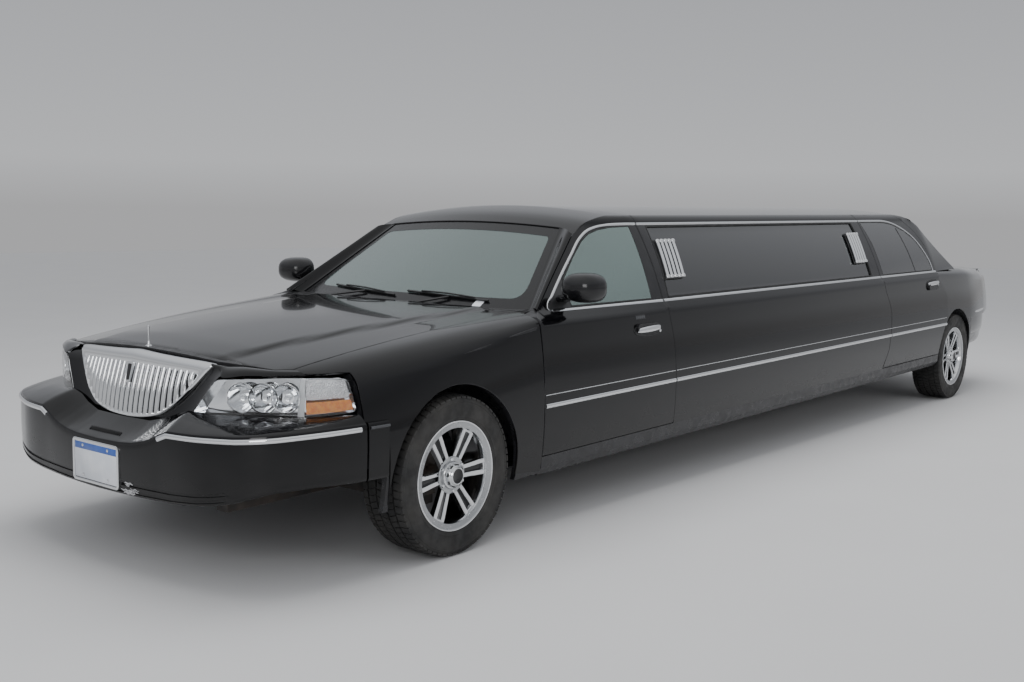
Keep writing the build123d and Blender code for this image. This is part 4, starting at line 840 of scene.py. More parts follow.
panel("front_door_skin", SIDE, front_door_ring, [front_window_ring], body="front_door_{}", rows=CREASES)
panel("rear_door_skin", SIDE, rear_door_ring, [rear_window_ring], body="rear_door_{}", rows=CREASES)
stretch_ring = [(1702, 351), (1702, 600), (1692, 775), (1668, 920), (1656, 1003), (1656, 1441), (4490, 1441),
                (4526, 1396), (4545, 1003), (4565, 900), (4621, 801), (4640, 742), (4631, 600), (4604, 478),
                (4523, 357), (4523, 351)]
stretch_ring = rounded(stretch_ring, [0, 80, 60, 30, 8, 8, 0, 8, 8, 40, 40, 60, 60, 60, 10, 0])
panel("stretch_skin", SIDE, stretch_ring, [stretch_window_ring], rows=CREASES)


# ---------------------------------------------------------------- floor, light and camera
def build_stage():
    mesh = bpy.data.meshes.new("floor")
    mesh.from_pydata([(-30, -30, 0), (30, -30, 0), (30, 30, 0), (-30, 30, 0)], [], [(0, 1, 2, 3)])
    floor = bpy.data.objects.new("floor", mesh)
    bpy.context.scene.collection.objects.link(floor)
    m, s = new_material("studio_floor", (0.56, 0.56, 0.565), 0.75)
    tint(m, s, (0.575, 0.575, 0.58), (0.585, 0.585, 0.59), 1.2)
    mesh.materials.append(m)
    world = bpy.context.scene.world or bpy.data.worlds.new("studio")
    bpy.context.scene.world = world
    world.use_nodes = True
    tree = world.node_tree
    tree.nodes.clear()
    coords, split = tree.nodes.new("ShaderNodeTexCoord"), tree.nodes.new("ShaderNodeSeparateXYZ")
    ramp, back = tree.nodes.new("ShaderNodeValToRGB"), tree.nodes.new("ShaderNodeBackground")
    out = tree.nodes.new("ShaderNodeOutputWorld")
    tree.links.new(coords.outputs["Generated"], split.inputs[0])
    tree.links.new(split.outputs["Z"], ramp.inputs["Fac"])
    tree.links.new(ramp.outputs["Color"], back.inputs["Color"])
    tree.links.new(back.outputs[0], out.inputs["Surface"])
    stops = ((0.0, (0.52, 0.52, 0.53)), (0.04, (0.66, 0.67, 0.69)), (0.22, (0.50, 0.51, 0.54)),
             (0.5, (0.78, 0.80, 0.84)), (1.0, (0.98, 0.99, 1.0)))
    while len(ramp.color_ramp.elements) < len(stops):
        ramp.color_ramp.elements.new(0.5)
    for element, (place, color) in zip(ramp.color_ramp.elements, stops):
        element.position, element.color = place, (*color, 1)
    back.inputs["Strength"].default_value = 0.85
    for name, place, size, power, target in (
            ("top_light", (0, 0, 6.5), (11, 5), 420, (0, 0, 0)),
            ("front_light", (-9.5, -4.5, 3.4), (4, 3), 160, (-3, 0, 0.7)),
            ("side_light", (1.5, -11, 4.0), (10, 2.4), 230, (0.5, -1, 0.8))):
        data = bpy.data.lights.new(name, "AREA")
        data.shape, data.size, data.size_y, data.energy = "RECTANGLE", size[0], size[1], power
        lamp = bpy.data.objects.new(name, data)
        lamp.location = place
        lamp.visible_glossy = name == "front_light"
        lamp.rotation_euler = (Vector(target) - Vector(place)).to_track_quat("-Z", "Y").to_euler()
        bpy.context.scene.collection.objects.link(lamp)


def build_camera():
    place = (-3622.0, -4208.0, 1443.0)
    yaw, pitch, roll = (math.radians(a) for a in (39.35, -6.2, 0.91))
    ahead = Vector((math.cos(pitch) * math.cos(yaw), math.cos(pitch) * math.sin(yaw), math.sin(pitch)))
    right = ahead.cross(Vector((0, 0, 1))).normalized()
    up = right.cross(ahead)
    turned_right = math.cos(roll) * right + math.sin(roll) * up
    turned_up = -math.sin(roll) * right + math.cos(roll) * up
    data = bpy.data.cameras.new("camera")
    data.lens, data.sensor_width = 41.43, 36.0
    data.shift_x, data.shift_y = 0.0040, 0.0
    data.clip_start, data.clip_end = 0.1, 200
    camera = bpy.data.objects.new("camera", data)
    matrix = Matrix((turned_right, turned_up, -ahead)).transposed().to_4x4()
    matrix.translation = Vector(at(place))
    camera.matrix_world = matrix
    bpy.context.scene.collection.objects.link(camera)
    bpy.context.scene.camera = camera


build_stage()
build_camera()


# ---------------------------------------------------------------- hood, fenders, quarters, lid, roof
class Top:
    """Height of the nose or tail as a table over station and half width."""

    def __init__(self, end, x0, x1, wide=900.0):
        self.xs, self.ys = np.arange(x0, x1 + 1, 20.0), np.arange(0, wide + 1, 12.0)
        self.z = np.array([[end_height(end, x, y) for y in self.ys] for x in self.xs])

    def __call__(self, x, y):
        return between(self.z, (np.asarray(x, float) - self.xs[0]) / 20.0, np.abs(y) / 12.0)


def end_height(end, x, y):
    yz = end.half(np.full(SAMPLES, float(x)), np.linspace(0, end.RUN, SAMPLES))[60:]
    return float(np.interp(-y, -yz[:, 0], yz[:, 1]))


nose_top, tail_top = Top(nose_end, -960, 680), Top(tail_end, REAR_AXLE - 120, TAIL)


def step_up(v):
    v = np.clip(v, 0, 1)
    return v * v * (3 - 2 * v)


def hood_height(x, y):
    """The hood with its raised middle, whose edges run back from the grille's corners."""
    edge = 452 + (x + 850) * 0.098
    raised = step_up((edge - np.abs(y)) / 46 + 0.5) * 13 * step_up((x + 900) / 260)
    rolled = np.maximum(-(x + 812 - y * y / 9000), 0) ** 2 / 60
    return nose_top(x, y) + raised - np.minimum(rolled, 26)


HOOD_SKIN, LID_SKIN = height_skin(hood_height), height_skin(tail_top, 1, (15.0, 12.0))


def bowed(x, depth, wide, steps=17):
    """Points across the car on a shallow arc that lies at x at its ends."""
    return [(x - depth * (1 - (y / wide) ** 2), y) for y in np.linspace(-wide, wide, steps)]


hood_nose = [(-850 + 28 * (y / 458) ** 2, y) for y in np.linspace(400, -400, 15)]
hood_side = [(-820, 458), (-742, 698), (-690, 744)]
hood_ring = [(600, -766)] + bowed(600, HOOD_BOW, HOOD_BOW_Y) + [(600, 766)] + hood_side[::-1] + hood_nose \
    + [(x, -y) for x, y in hood_side]
single("hood_skin", patch(HOOD_SKIN, hood_ring, step=34, out=0.9, lip=10), PAINT, "hood", slot="paint")


def on_end(end, points):
    """(x, level height) points of the side to the end's own coordinates."""
    return [(x, end.u_at_z(x, z)) for x, z in points]


def along_top(end, points):
    """(x, y) points of the top to the end's own coordinates."""
    return [(x, end.u_at_y(x, y)) for x, y in points]


def spaced(points, step=30.0):
    return [tuple(p) for p in resampled(points, step, closed=False)]


arch_front = arch_ring(0, ARCH, 281, 281, 60)
fender_side = spaced([(563, 281), (563, 953), (576, 984), (586, 992)], 25)
fender_hood = spaced([(588, 822), (606, 822), (606, 774), (-690, 751), (-745, 706)], 30)
fender_front = spaced([(-512, 843), (-512, 640), (-400, 640), (-400, 560)], 20)
fender_foot = spaced([(-760, 846), (-512, 843)], 25) + fender_front[1:-1]
fender_foot += [p for p in arch_front if p[1] > 281.5]
ring = on_end(nose_end, fender_side[:-1]) + along_top(nose_end, fender_hood) + on_end(nose_end, fender_foot)
pair("fender_skin", patch(NOSE_SKIN, ring, step=34, out=0.9, lip=10), PAINT, slot="paint")


# ---------------------------------------------------------------- front bumper
DROP = lift(-850.0)


def spline(points, steps):
    """Smooth curve through points, evenly spaced along its length."""
    p = np.array(points, float)
    p = np.concatenate([[2 * p[0] - p[1]], p, [2 * p[-1] - p[-2]]])
    out = []
    for i in range(1, len(p) - 2):
        t = np.linspace(0, 1, 24, endpoint=False)[:, None]
        k0 = max(np.linalg.norm(p[i] - p[i - 1]), 1e-6)
        k1 = np.linalg.norm(p[i + 1] - p[i])
        k2 = max(np.linalg.norm(p[i + 2] - p[i + 1]), 1e-6)
        m0 = ((p[i + 1] - p[i]) / k1 * k0 + (p[i] - p[i - 1]) / k0 * k1) / (k0 + k1) * k1
        m1 = ((p[i + 2] - p[i + 1]) / k2 * k1 + (p[i + 1] - p[i]) / k1 * k2) / (k1 + k2) * k1
        out.append(hermite(t, p[i], p[i + 1], m0, m1))
    out = np.concatenate(out + [p[-2:-1]])
    run = np.concatenate([[0], np.cumsum(np.linalg.norm(np.diff(out, axis=0), axis=1))])
    at_run = np.linspace(0, run[-1], steps)
    return np.stack([np.interp(at_run, run, out[:, i]) for i in range(out.shape[1])], 1)


def mirrored_curve(half):
    """A curve from the centre line outward, carried over to the left side."""
    return np.concatenate([(half * (1, -1, 1) if half.shape[1] == 3 else half * (1, -1))[:0:-1], half])


FRONT_PLAN = [(-1078, 0), (-1076, 150), (-1061, 380), (-1020, 655), (-930, 835), (-780, 921), (-560, 973),
              (-409, 984)]


def wall(plan, n):
    """Plan curve of half a bumper with its outward directions."""
    curve = spline(plan, n)
    ahead = np.gradient(curve, axis=0)
    if curve[0, 1] == 0:
        ahead[0] = (0, 1)
    way = unit(np.stack([-ahead[:, 1], ahead[:, 0]], 1))
    middle = np.array([-500.0, 0]) if curve[0, 0] < 0 else np.array([REAR_AXLE + 800, 0.0])
    flip = np.sign(np.sum(way * (curve - middle), 1))[:, None]
    return curve, way * flip


def at_y(y, table):
    return np.interp(np.abs(y), [r[0] for r in table], [r[1] for r in table])


FOOT = [(0, 344), (240, 347), (457, 352), (600, 362), (675, 372), (752, 388), (829, 414), (872, 428),
        (937, 436), (984, 430)]
LIP = [(0, 553), (150, 556), (232, 563), (300, 577), (341, 590), (400, 616), (446, 634), (575, 636),
       (754, 641), (873, 649), (937, 656), (984, 660)]
BACK_X = [(0, -956), (200, -950), (300, -938), (380, -925), (430, -926), (520, -888), (660, -828),
          (760, -762), (838, -712), (922, -600), (950, -545), (984, -530)]
BACK_Y = [(0, 0), (200, 185), (300, 280), (380, 352), (430, 408), (520, 520), (660, 664), (760, 760),
          (838, 826), (922, 898), (950, 926), (984, 945)]
BACK_Z = [(0, 624), (200, 626), (300, 648), (380, 674), (430, 690), (520, 684), (660, 683), (838, 687),
          (922, 690), (984, 692)]


def front_bumper_rows(curve, way, shelf):
    rows = []
    for (x, y), (nx, ny) in zip(curve, way):
        a = abs(y)
        foot, lip = at_y(a, FOOT), at_y(a, LIP)
        deep = 7.0 * np.clip((735 - a) / 40, 0, 1)
        g1, g2 = foot + 18, foot + 18 + np.interp(a, (0, 700), (30, 23))
        rise = lip - 16
        rows.append([
            (90, foot + 26), (40, foot + 5), (14, foot), (5, foot + 3), (1.5, foot + 9), (0.6, g1 - 7),
            (deep, g1 - 5), (deep, g1 + 4), (0.3, g1 + 6), (0, g2 - 7), (deep, g2 - 5), (deep, g2 + 4),
            (0, g2 + 6), (-1, g2 + 24), (-2.5, (g2 + rise) / 2), (-1.5, rise - 18), (0, rise), (1.5, lip - 8),
            (4, lip - 3), (9, lip)])
    verts = []
    for (x, y), (nx, ny), row in zip(curve, way, rows):
        line = [(x - nx * d, y - ny * d, z + DROP) for d, z in row]
        if shelf:
            a = abs(y)
            back = np.array([at_y(a, BACK_X), at_y(a, BACK_Y) * (1 if y >= 0 else -1),
                             at_y(a, BACK_Z) + DROP])
            lip_at = np.array(line[-1])
            sag = np.interp(a, (0, 250, 400, 520, 984), (-4, -6, 5, 9, 4))
            for t in (0.06, 0.16, 0.34, 0.52, 0.7, 0.86, 1.0):
                line.append(tuple(lip_at + (back - lip_at) * t + np.array([0, 0, sag * 4 * t * (1 - t)])))
            line.append(tuple(back + np.array([6, 0, -14])))
        else:
            line += [(x - nx * 30, y - ny * 30, row[-1][1] + DROP + 1)]
        verts.append(line)
    return sheet(verts)


curve, way = wall(FRONT_PLAN, 150)
front = curve[:, 0] < -519
half, face_way = curve[front], way[front]
bits = Bits().add(front_bumper_rows(mirrored_curve(half), mirrored_curve(face_way), True))
bits.both(front_bumper_rows(curve[~front], way[~front], False))
bits.add(shifted(soft_box(-1077, -1050, -166, 166, 338, 512, 9), (0, 0, DROP + 25)))
bits.piece("bumper_cover", PAINT, "car", 32, "paint", ["front_bumper"])


def bumper_strip(chosen, width, height):
    """A strip below the bumper's lip, over the chosen points of its plan."""
    path = [(x + nx * 1.2, y + ny * 1.2, at_y(y, LIP) - 20 + DROP)
            for (x, y), (nx, ny) in zip(curve[chosen], way[chosen])]
    return sweep(path, half_round(width, height), [(nx, ny, 0) for nx, ny in way[chosen]])


bits = Bits()
bits.both(bumper_strip((curve[:, 1] > 398) & (curve[:, 0] < -550), 19, 8))
bits.both(bumper_strip(curve[:, 0] > -512, 11, 6), 1)
bits.piece("bumper_strips", [CHROME, GREY], "car", 40, "chrome")

SCUFFED, _scuffed = new_material("scuffed_plastic", (0.34, 0.34, 0.35), 0.6)
tint(SCUFFED, _scuffed, (0.16, 0.16, 0.165), (0.55, 0.55, 0.56), 160.0, low=0.35, high=0.6, stretch=(1, 1, 3))
scuffs = Bits()
for y0, y1, z, tall in ((-196, -246, 372, 9), (-200, -226, 364, 6), (-172, -282, 344, 8),
                        (-190, -262, 335, 10), (-230, -286, 352, 4)):
    places = [(float(np.interp(-y, half[:, 1], half[:, 0])) - 0.9, y, z + 2.2 * math.sin(y * 0.21))
              for y in np.linspace(y0, y1, 12)]
    section = [(-tall / 2, -0.3), (tall / 2, -0.3), (tall / 2, 0.3), (-tall / 2, 0.3)]
    fading = [0.15 + 0.85 * math.sin(math.pi * (k + 0.5) / 12) ** 0.7 for k in range(12)]
    scuffs.add(sweep(places, section, (-1, 0, 0), scale=fading))
scuffs.piece("bumper_scuffs", SCUFFED, "car", 30, "black_plastic")

slots = Bits()
for i in range(-7, 8):
    y, x = i * 15.0, -1034.0
    z = 553 + (x + 1069) * 0.6 + DROP
    lean, slant = (Matrix.Rotation(math.radians(a), 4, k) for a, k in ((-31, "Y"), (24, "Z")))
    block = soft_box(-12, 12, -2.6, 2.6, -1.2, 1.2, 1.0)
    slots.add(moved(block, Matrix.Translation((x, y, z + 0.8)) @ lean @ slant))
slots.piece("bumper_vents", RUBBER, "car", 30, "black_plastic")

# ---------------------------------------------------------------- grille
SHIELD = [(0, 622), (120, 629), (190, 641), (240, 656), (284, 682), (325, 712), (383, 766), (424, 812),
          (466, 862), (458, 870), (400, 875), (300, 879), (150, 885), (40, 890), (0, 892)]
WINDOW = [(0, 640), (105, 645), (175, 654), (222, 667), (258, 686), (298, 712), (340, 752), (366, 784),
          (389, 815), (384, 822), (360, 824), (280, 826), (150, 828), (40, 829), (0, 830)]


def slab_x(y, z):
    return -950 + y * y / 5376 + (z - 632) * 58 / 261


def slab_skin(back):
    """Skin in (y, level height) that lies behind the grille's leaning face."""
    return Skin(lambda y, z: np.stack([slab_x(y, z) + back, y, z + DROP], -1), -1, (10, 10))


def grille_surround():
    """Chrome frame: a rounded band between the outer and the inner outline."""
    outer, inner = (np.array(r + [(-y, z) for y, z in r[-2:0:-1]], float) for r in (SHIELD, WINDOW))
    shares = np.linspace(0, 1, 14, endpoint=False)[:, None]
    outer, inner = (np.concatenate([p + (q - p) * shares for p, q in zip(r, np.roll(r, -1, 0))])
                    for r in (outer, inner))
    for ring in (outer, inner):
        for _ in range(40):
            ring[:] = ring * 0.5 + (np.roll(ring, 1, 0) + np.roll(ring, -1, 0)) * 0.25
    profile = [(0.0, 26), (0.0, 8), (0.03, 1), (0.1, -4), (0.3, -9), (0.55, -10), (0.8, -6), (0.93, -1),
               (1.0, 6), (1.0, 26)]
    verts = []
    for w, d in profile:
        p = outer * (1 - w) + inner * w
        verts.append(np.stack([slab_x(p[:, 0], p[:, 1]) + d * 0.9 + 6, p[:, 0], p[:, 1] + DROP], 1))
    return np.concatenate(verts), quads(len(profile), len(outer), wrap_columns=True)


bits = Bits().add(grille_surround())
BAR_PITCH = 33.4
bar_section = [(-11, -6), (11, -6), (11.4, 0), (9.6, 5.4), (5.4, 8.6), (0, 9.8), (-5.4, 8.6), (-9.6, 5.4),
               (-11.4, 0)]
for i in range(-11, 12):
    y = i * BAR_PITCH
    z = np.linspace(at_y(y, WINDOW[:9]) - 8, at_y(y, WINDOW[:8:-1]) + 8, 14)
    swell = 6 * np.sin(np.linspace(0, math.pi, 14))
    path = np.stack([slab_x(y, z) + 8 - swell, np.full(14, y), z + DROP], 1)
    bits.add(sweep(path, bar_section, (-1, 0, 0.1)))
bits.piece("grille_chrome", CHROME, "car", 38, "chrome", ["grille"])
window_ring = [(y, z) for y, z in WINDOW] + [(-y, z) for y, z in WINDOW[-2:0:-1]]
single("grille_back", patch(slab_skin(22), grown(window_ring, 6), out=0, lip=3, step=60), BLACK, "car",
       slot="black_plastic")

badge = Bits()
ring = rounded([(-14, 762), (14, 762), (17, 842), (-17, 842)], [9, 9, 5, 5])
BADGE = slab_skin(-10)
badge.add(patch(BADGE, ring, out=0, lip=18, step=30, radius=1.5))
badge.add(patch(BADGE, rounded([(-9, 770), (9, 770), (11, 834), (-11, 834)], 4), out=1.6, lip=3, step=30,
                radius=0.8), 1)
badge.piece("grille_badge", [CHROME, GLOSS_BLACK], "car", slot="chrome")

# plain chrome stalk on the hood's nose
stalk = [(0.1, 0), (15, 0), (14, 3), (7, 6), (4.8, 12), (3.4, 26), (3.0, 70), (4.4, 76), (4.0, 84), (0.1, 87)]
stalk = revolve(stalk, 24, "z")
stalk = shifted(stalk, (-826, 0, hood_height(np.array(-826.0), np.array(0.0)) + lift(-826)))
single("hood_stalk", stalk, CHROME, "hood", 40, "chrome")

# ---------------------------------------------------------------- headlamps
LAMP_FOOT_LINE = spline([(-922, 420, 680), (-886, 535, 680), (-839, 643, 681), (-775, 752, 680),
                         (-703, 831, 682), (-620, 886, 688), (-520, 928, 696)], 200)
LAMP_HEAD_LINE = spline([(-886, 524, 822), (-835, 640, 831), (-775, 752, 837), (-705, 822, 839),
                         (-640, 870, 838), (-556, 910, 834)], 200)
LAMP_LONG, LAMP_TALL = 620.0, 150.0


def lamp_points(a, b):
    s, t = np.clip(a / LAMP_LONG, 0, 1) * 199, b / LAMP_TALL
    i = np.clip(s.astype(int), 0, 198)
    f = (s - i)[:, None]
    low = LAMP_FOOT_LINE[i] * (1 - f) + LAMP_FOOT_LINE[i + 1] * f
    high = LAMP_HEAD_LINE[i] * (1 - f) + LAMP_HEAD_LINE[i + 1] * f
    p = low + (high - low) * t[:, None]
    bulge = 5 * np.sin(np.clip(t, 0, 1) * math.pi)
    return p + np.stack([-bulge * 0.8, bulge * 0.6, np.full_like(bulge, DROP)], 1)


LAMP = Skin(lamp_points, -1, (12, 12))
lamp_ring = rectangle(3, 617, 3, 147, [10, 26, 30, 26])


def lamp_inside(bits):
    rim = grown(lamp_ring, -2)
    bits.add(patch(LAMP, rim, out=-46, step=40, lip=2))
    rim_points = [LAMP.at(rim, out)[0] for out in (-3, -20, -46)]
    bits.add((np.concatenate(rim_points), turned(quads(3, len(rim), wrap_columns=True))))
    for a, b, r in ((168, 74, 55), (262, 74, 55), (352, 74, 53)):
        centre = LAMP.at([(a, b)], -8)[0]
        aim = unit(np.array([-0.86, 0.5, 0.02]))
        m = Vector(aim).to_track_quat("Z", "Y").to_matrix().to_4x4()
        m.translation = Vector(centre[0])
        bowl = [(r, 0), (r * 0.985, -1.5), (r * 0.93, -9), (r * 0.8, -22), (r * 0.62, -34), (r * 0.4, -42),
                (r * 0.24, -45)]
        bits.add(moved(revolve(bowl[::-1], 40, "z"), m))
        cap = [(0.1, -14), (r * 0.16, -15), (r * 0.23, -20), (r * 0.25, -28), (r * 0.25, -46)]
        bits.add(moved(revolve(cap[::-1], 24, "z"), m))
        ring_part = [(r + 4, -4), (r + 4, 2), (r + 1.5, 4), (r - 1, 2), (r - 1, -3)]
        bits.add(moved(revolve(ring_part[::-1], 40, "z"), m))
    bits.add(patch(LAMP, [(404, 6), (424, 6), (424, 144), (404, 144)], out=-5, lip=40, step=30), 1)
    turn = rectangle(430, 606, 66, 140, 14)
    bits.add(patch(LAMP, turn, out=-14, lip=20, step=24), 2)


REFLECTOR = chrome_material("lamp_reflector", (0.90, 0.91, 0.92), 0.03, 0.1)
LAMP_WHITE = plastic_material("lamp_white", (0.80, 0.81, 0.82), (0.86, 0.87, 0.88), 0.25, 0.35, 300.0, 0.05)
RIBBED, _ribbed = new_material("ribbed_reflector", (0.72, 0.72, 0.73), 0.2, 0.6)
mottle(RIBBED, _ribbed, 20.0, 0.15, 0.3)
relief(RIBBED, _ribbed, 130.0, 0.8, 0.003, "cells", (1, 1, 2.2))
AMBER, _amber = new_material("amber_plastic", (0.95, 0.28, 0.02), 0.15, Coat_Weight=0.6, Coat_Roughness=0.05)
tint(AMBER, _amber, (0.9, 0.24, 0.015), (1.0, 0.36, 0.03), 60.0)
relief(AMBER, _amber, 300.0, 0.4, 0.001, "cells")
lens = patch(LAMP, lamp_ring, out=0, thick=2.5, step=26)
amber = patch(LAMP, rectangle(432, 606, 14, 58, [6, 12, 8, 6]), out=-5, thick=5, step=24)
pair("headlamp_lens", lens, LENS_GLASS, "car", None, "lamp_glass", ["headlamps"])
pair("headlamp_inside", lamp_inside, [REFLECTOR, LAMP_WHITE, RIBBED], "car", 30, "chrome")
pair("headlamp_amber", amber, AMBER, "car", None, "lamp_glass")


# ---------------------------------------------------------------- painted prow beside the grille
def prow(bits):
    zs = np.linspace(640, 866, 16)
    verts = []
    for z in zs:
        y_in = float(at_y(z, [(height, y) for y, height in SHIELD[:9]])) - 10
        y_out = np.interp(z, (640, 680, 712, 766, 814, 840, 866), (380, 418, 443, 486, 524, 536, 520))
        x_out = -922 + (z - 680) * 36 / 134 + 3 + max(0, z - 822) * 0.9
        for w in np.linspace(0, 1, 10):
            y = y_in + (y_out - y_in) * w
            verts.append((slab_x(y, z) * (1 - w) + x_out * w + 14 * (1 - w), y, z + DROP))
    bits.add((verts, quads(16, 10)))
    front = spline([(-864, 468, 866), (-858, 522, 846), (-872, 536, 834), (-838, 640, 840), (-775, 752, 845),
                    (-700, 826, 848)], 40)
    hood_edge = np.concatenate([resampled([(-823, 455), (-745, 703)], 12, False),
                                resampled([(-745, 706), (-690, 760)], 20, False)])
    idx = np.linspace(0, len(hood_edge) - 1, 40)
    hood_edge = np.stack([np.interp(idx, range(len(hood_edge)), hood_edge[:, i]) for i in (0, 1)], 1)
    back = np.array([(x - 4, y, hood_height(np.array(x), np.array(y)) - 2) for x, y in hood_edge])
    grid = []
    for t in np.linspace(0, 1, 8):
        p = front * (1 - t) + back * t
        p[:, 2] += 10 * 4 * t * (1 - t)
        p[:, 0] -= 5 * 4 * t * (1 - t)
        grid.append(p + (0, 0, DROP))
    bits.add(sheet(grid))


pair("prow", prow, PAINT, "car", 50, "paint")


# ---------------------------------------------------------------- wheels
SPOKES, SPOKE_TURN = 6, math.radians(27)


def about(bits, part, slot=0, turns=1, phase=0.0):
    """Adds copies of a part turned about the wheel's axis, which runs along y through the origin."""
    for i in range(turns):
        bits.add(moved(part, Matrix.Rotation(2 * math.pi * i / turns + phase, 4, "Y")), slot)


def tread_block(a0, a1, w0, w1, r0, r1, skew=0.0):
    """A rubber block between two angles and two places across the tread."""
    verts = []
    for r, inset in ((r0, 0.0), (r1, 0.0)):
        for a, w in ((a0, w0), (a1, w0), (a1, w1), (a0, w1)):
            a = a + skew * (w - w0) / max(w1 - w0, 1e-6)
            rr = r if abs(w) < 92 else r - (abs(w) - 92) * 0.42
            verts.append((rr * math.sin(a), w, rr * math.cos(a)))
    return np.array(verts), [(3, 2, 1, 0), (4, 5, 6, 7), (0, 1, 5, 4), (1, 2, 6, 5), (2, 3, 7, 6),
                             (3, 0, 4, 7)]


# rows of tread blocks: both edges across the tyre, how many blocks, their skew and the gap between them
TREAD = [(-108, -74, 64, 0.012, 0.2), (-66, -28, 72, 0.03, 0.14), (-20, 20, 72, -0.03, 0.12),
         (28, 66, 72, 0.03, 0.14), (74, 108, 64, -0.012, 0.2)]


def tyre_bits():
    """Tyre with its tread ribs, shoulder blocks and sidewall rings, about the origin."""
    bits = Bits()
    r = TYRE
    wall_side = [(222, 90), (228, 98), (237, 103.5), (243, 107), (249, 109.2), (251, 110.6), (254, 109.8),
                 (262, 111.2), (275, 112.2), (290, 112.4), (303, 111.6), (312, 110.2), (313.2, 111.4),
                 (315.5, 111.2), (317, 109.4), (324, 107.4), (330, 104.4), (334, 100)]
    crown = [(r - 7.5, 96), (r - 7, 80), (r - 7, 50), (r - 7, 0)]
    right = wall_side + crown
    ring = [(q, -a) for q, a in right] + [(q, a) for q, a in right[-2::-1]]
    bits.add(revolve(ring[::-1], 96))
    for row, (w0, w1, n, skew, gap) in enumerate(TREAD):
        pitch = 2 * math.pi / n
        for i in range(n):
            a = i * pitch + row * 0.02
            bits.add(tread_block(a + pitch * gap / 2, a + pitch * (1 - gap / 2), w0, w1, r - 9, r - 0.3,
                                 skew))
    return bits


def spoke_parts():
    """One spoke: two bright rails, the dark groove between them and the bridge at its outer end."""
    rails = []
    for side in (-1, 1):
        path = spline([(side * 17, 66, 50), (side * 19, 72, 90), (side * 21, 76, 130), (side * 23.5, 80, 168),
                       (side * 25, 83, 203)], 16)
        section = [(-8.5, -18), (8.5, -18), (9.5, -2), (9.0, 4.5), (6.2, 7.4), (-6.2, 7.4), (-9.0, 4.5),
                   (-9.5, -2)]
        rails.append(sweep(path, section, (0, 1, 0), scale=np.linspace(0.95, 1.15, 16)))
    bridge = sweep([(-34, 82, 196), (0, 83, 200), (34, 82, 196)],
                   [(-7, -14), (7, -14), (7, 3), (4, 6), (-4, 6), (-7, 3)], (0, 1, 0))
    groove = sweep(spline([(0, 62, 50), (0, 68, 120), (0, 74, 200)], 8),
                   [(-16, -10), (16, -10), (16, 0), (-16, 0)], (0, 1, 0), scale=np.linspace(0.9, 1.2, 8))
    return rails + [bridge], groove


def rim_bits():
    """Chrome wheel with six twin-rail spokes, a riveted lip and a tall cap; outer face toward +y."""
    bits = Bits()
    h = RIM_HALF
    barrel = [(RIM_LIP - 1.5, h - 9), (RIM_LIP, h - 6), (RIM_LIP, h - 1.6), (RIM_LIP - 1.6, h),
              (RIM_LIP - 5, h), (RIM_LIP - 7, h - 1.2)]
    lip = [(RIM_LIP - 7, h - 1.2), (RIM_LIP - 9, h - 3.4), (RIM_LIP - 10.5, h - 4.2), (RIM_LIP - 30, h - 6.2),
           (RIM_LIP - 31.5, h - 7)]
    step = [(RIM_LIP - 31.5, h - 7), (RIM_LIP - 33, h - 12), (RIM_LIP - 35, h - 15), (RIM_LIP - 37, h - 60),
            (RIM_LIP - 42, h - 110), (RIM_LIP - 30, h - 190), (RIM_LIP - 20, -h + 8), (RIM_LIP - 6, -h),
            (RIM_LIP, -h), (RIM_LIP, -h + 7), (226, -h + 14)]
    bits.add(revolve(barrel, 96), 0)
    bits.add(revolve(lip, 96), 1)
    bits.add(revolve(step, 96), 0)
    rails, groove = spoke_parts()
    for part in rails:
        about(bits, part, 0, SPOKES, SPOKE_TURN)
    about(bits, groove, 2, SPOKES, SPOKE_TURN)
    hub = [(0.1, 68), (76, 68), (80, 72), (80, 77), (77, 80), (62, 81), (59, 80), (58, 82)]
    bits.add(revolve(hub[::-1], 64), 1)
    cap = [(58, 78), (57.5, 84), (56, 86), (50, 88), (48.5, 92), (45, 104), (42.5, 107), (40, 108),
           (37.5, 113), (36, 114.5), (33, 115), (31.5, 114)]
    bits.add(revolve(cap[::-1], 64), 0)
    bits.add(revolve([(31.8, 113.6), (30, 112.4), (0.1, 112.0)][::-1], 48), 2)
    for i in range(8):
        m = Matrix.Rotation(2 * math.pi * i / 8 + 0.2, 4, "Y") @ Matrix.Translation((0, 98.0, 47.0)) \
            @ Matrix.Rotation(math.radians(-74), 4, "X")
        bits.add(moved(soft_box(-8.5, 8.5, -2.0, 2.0, -6.0, 6.0, 1.4), m), 2)
    nut = revolve([(7.5, 80), (7.5, 88), (6, 90.5), (0.1, 91)][::-1], 6)
    for i in range(6):
        a = 2 * math.pi * (i + 0.5) / 6 + SPOKE_TURN
        bits.add(shifted(nut, (69 * math.sin(a), -4, 69 * math.cos(a))))
    rivet = revolve([(3.2, h - 6.5), (3.0, h - 4.4), (1.6, h - 3.3), (0.1, h - 3.0)][::-1], 12)
    for i in range(24):
        a = 2 * math.pi * (i + 0.5) / 24
        bits.add(shifted(rivet, (214.5 * math.sin(a), -0.8, 214.5 * math.cos(a))))
    valve = revolve([(3.5, h - 40), (3.5, h - 16), (0.1, h - 14)][::-1], 12)
    bits.add(shifted(valve, (188 * math.sin(0.7), 0, 188 * math.cos(0.7))), 2)
    return bits


def placed(source, x, side):
    """A copy of a wheel's parts at its axle, outer face outward."""
    out = Bits()
    verts, faces = np.concatenate(source.verts), source.faces
    if side < 0:
        verts, faces = verts * (1, -1, 1), turned(faces)
    out.add((verts + (x, side * WHEEL_Y, AXLE_Z), faces))
    out.slots = list(source.slots)
    return out


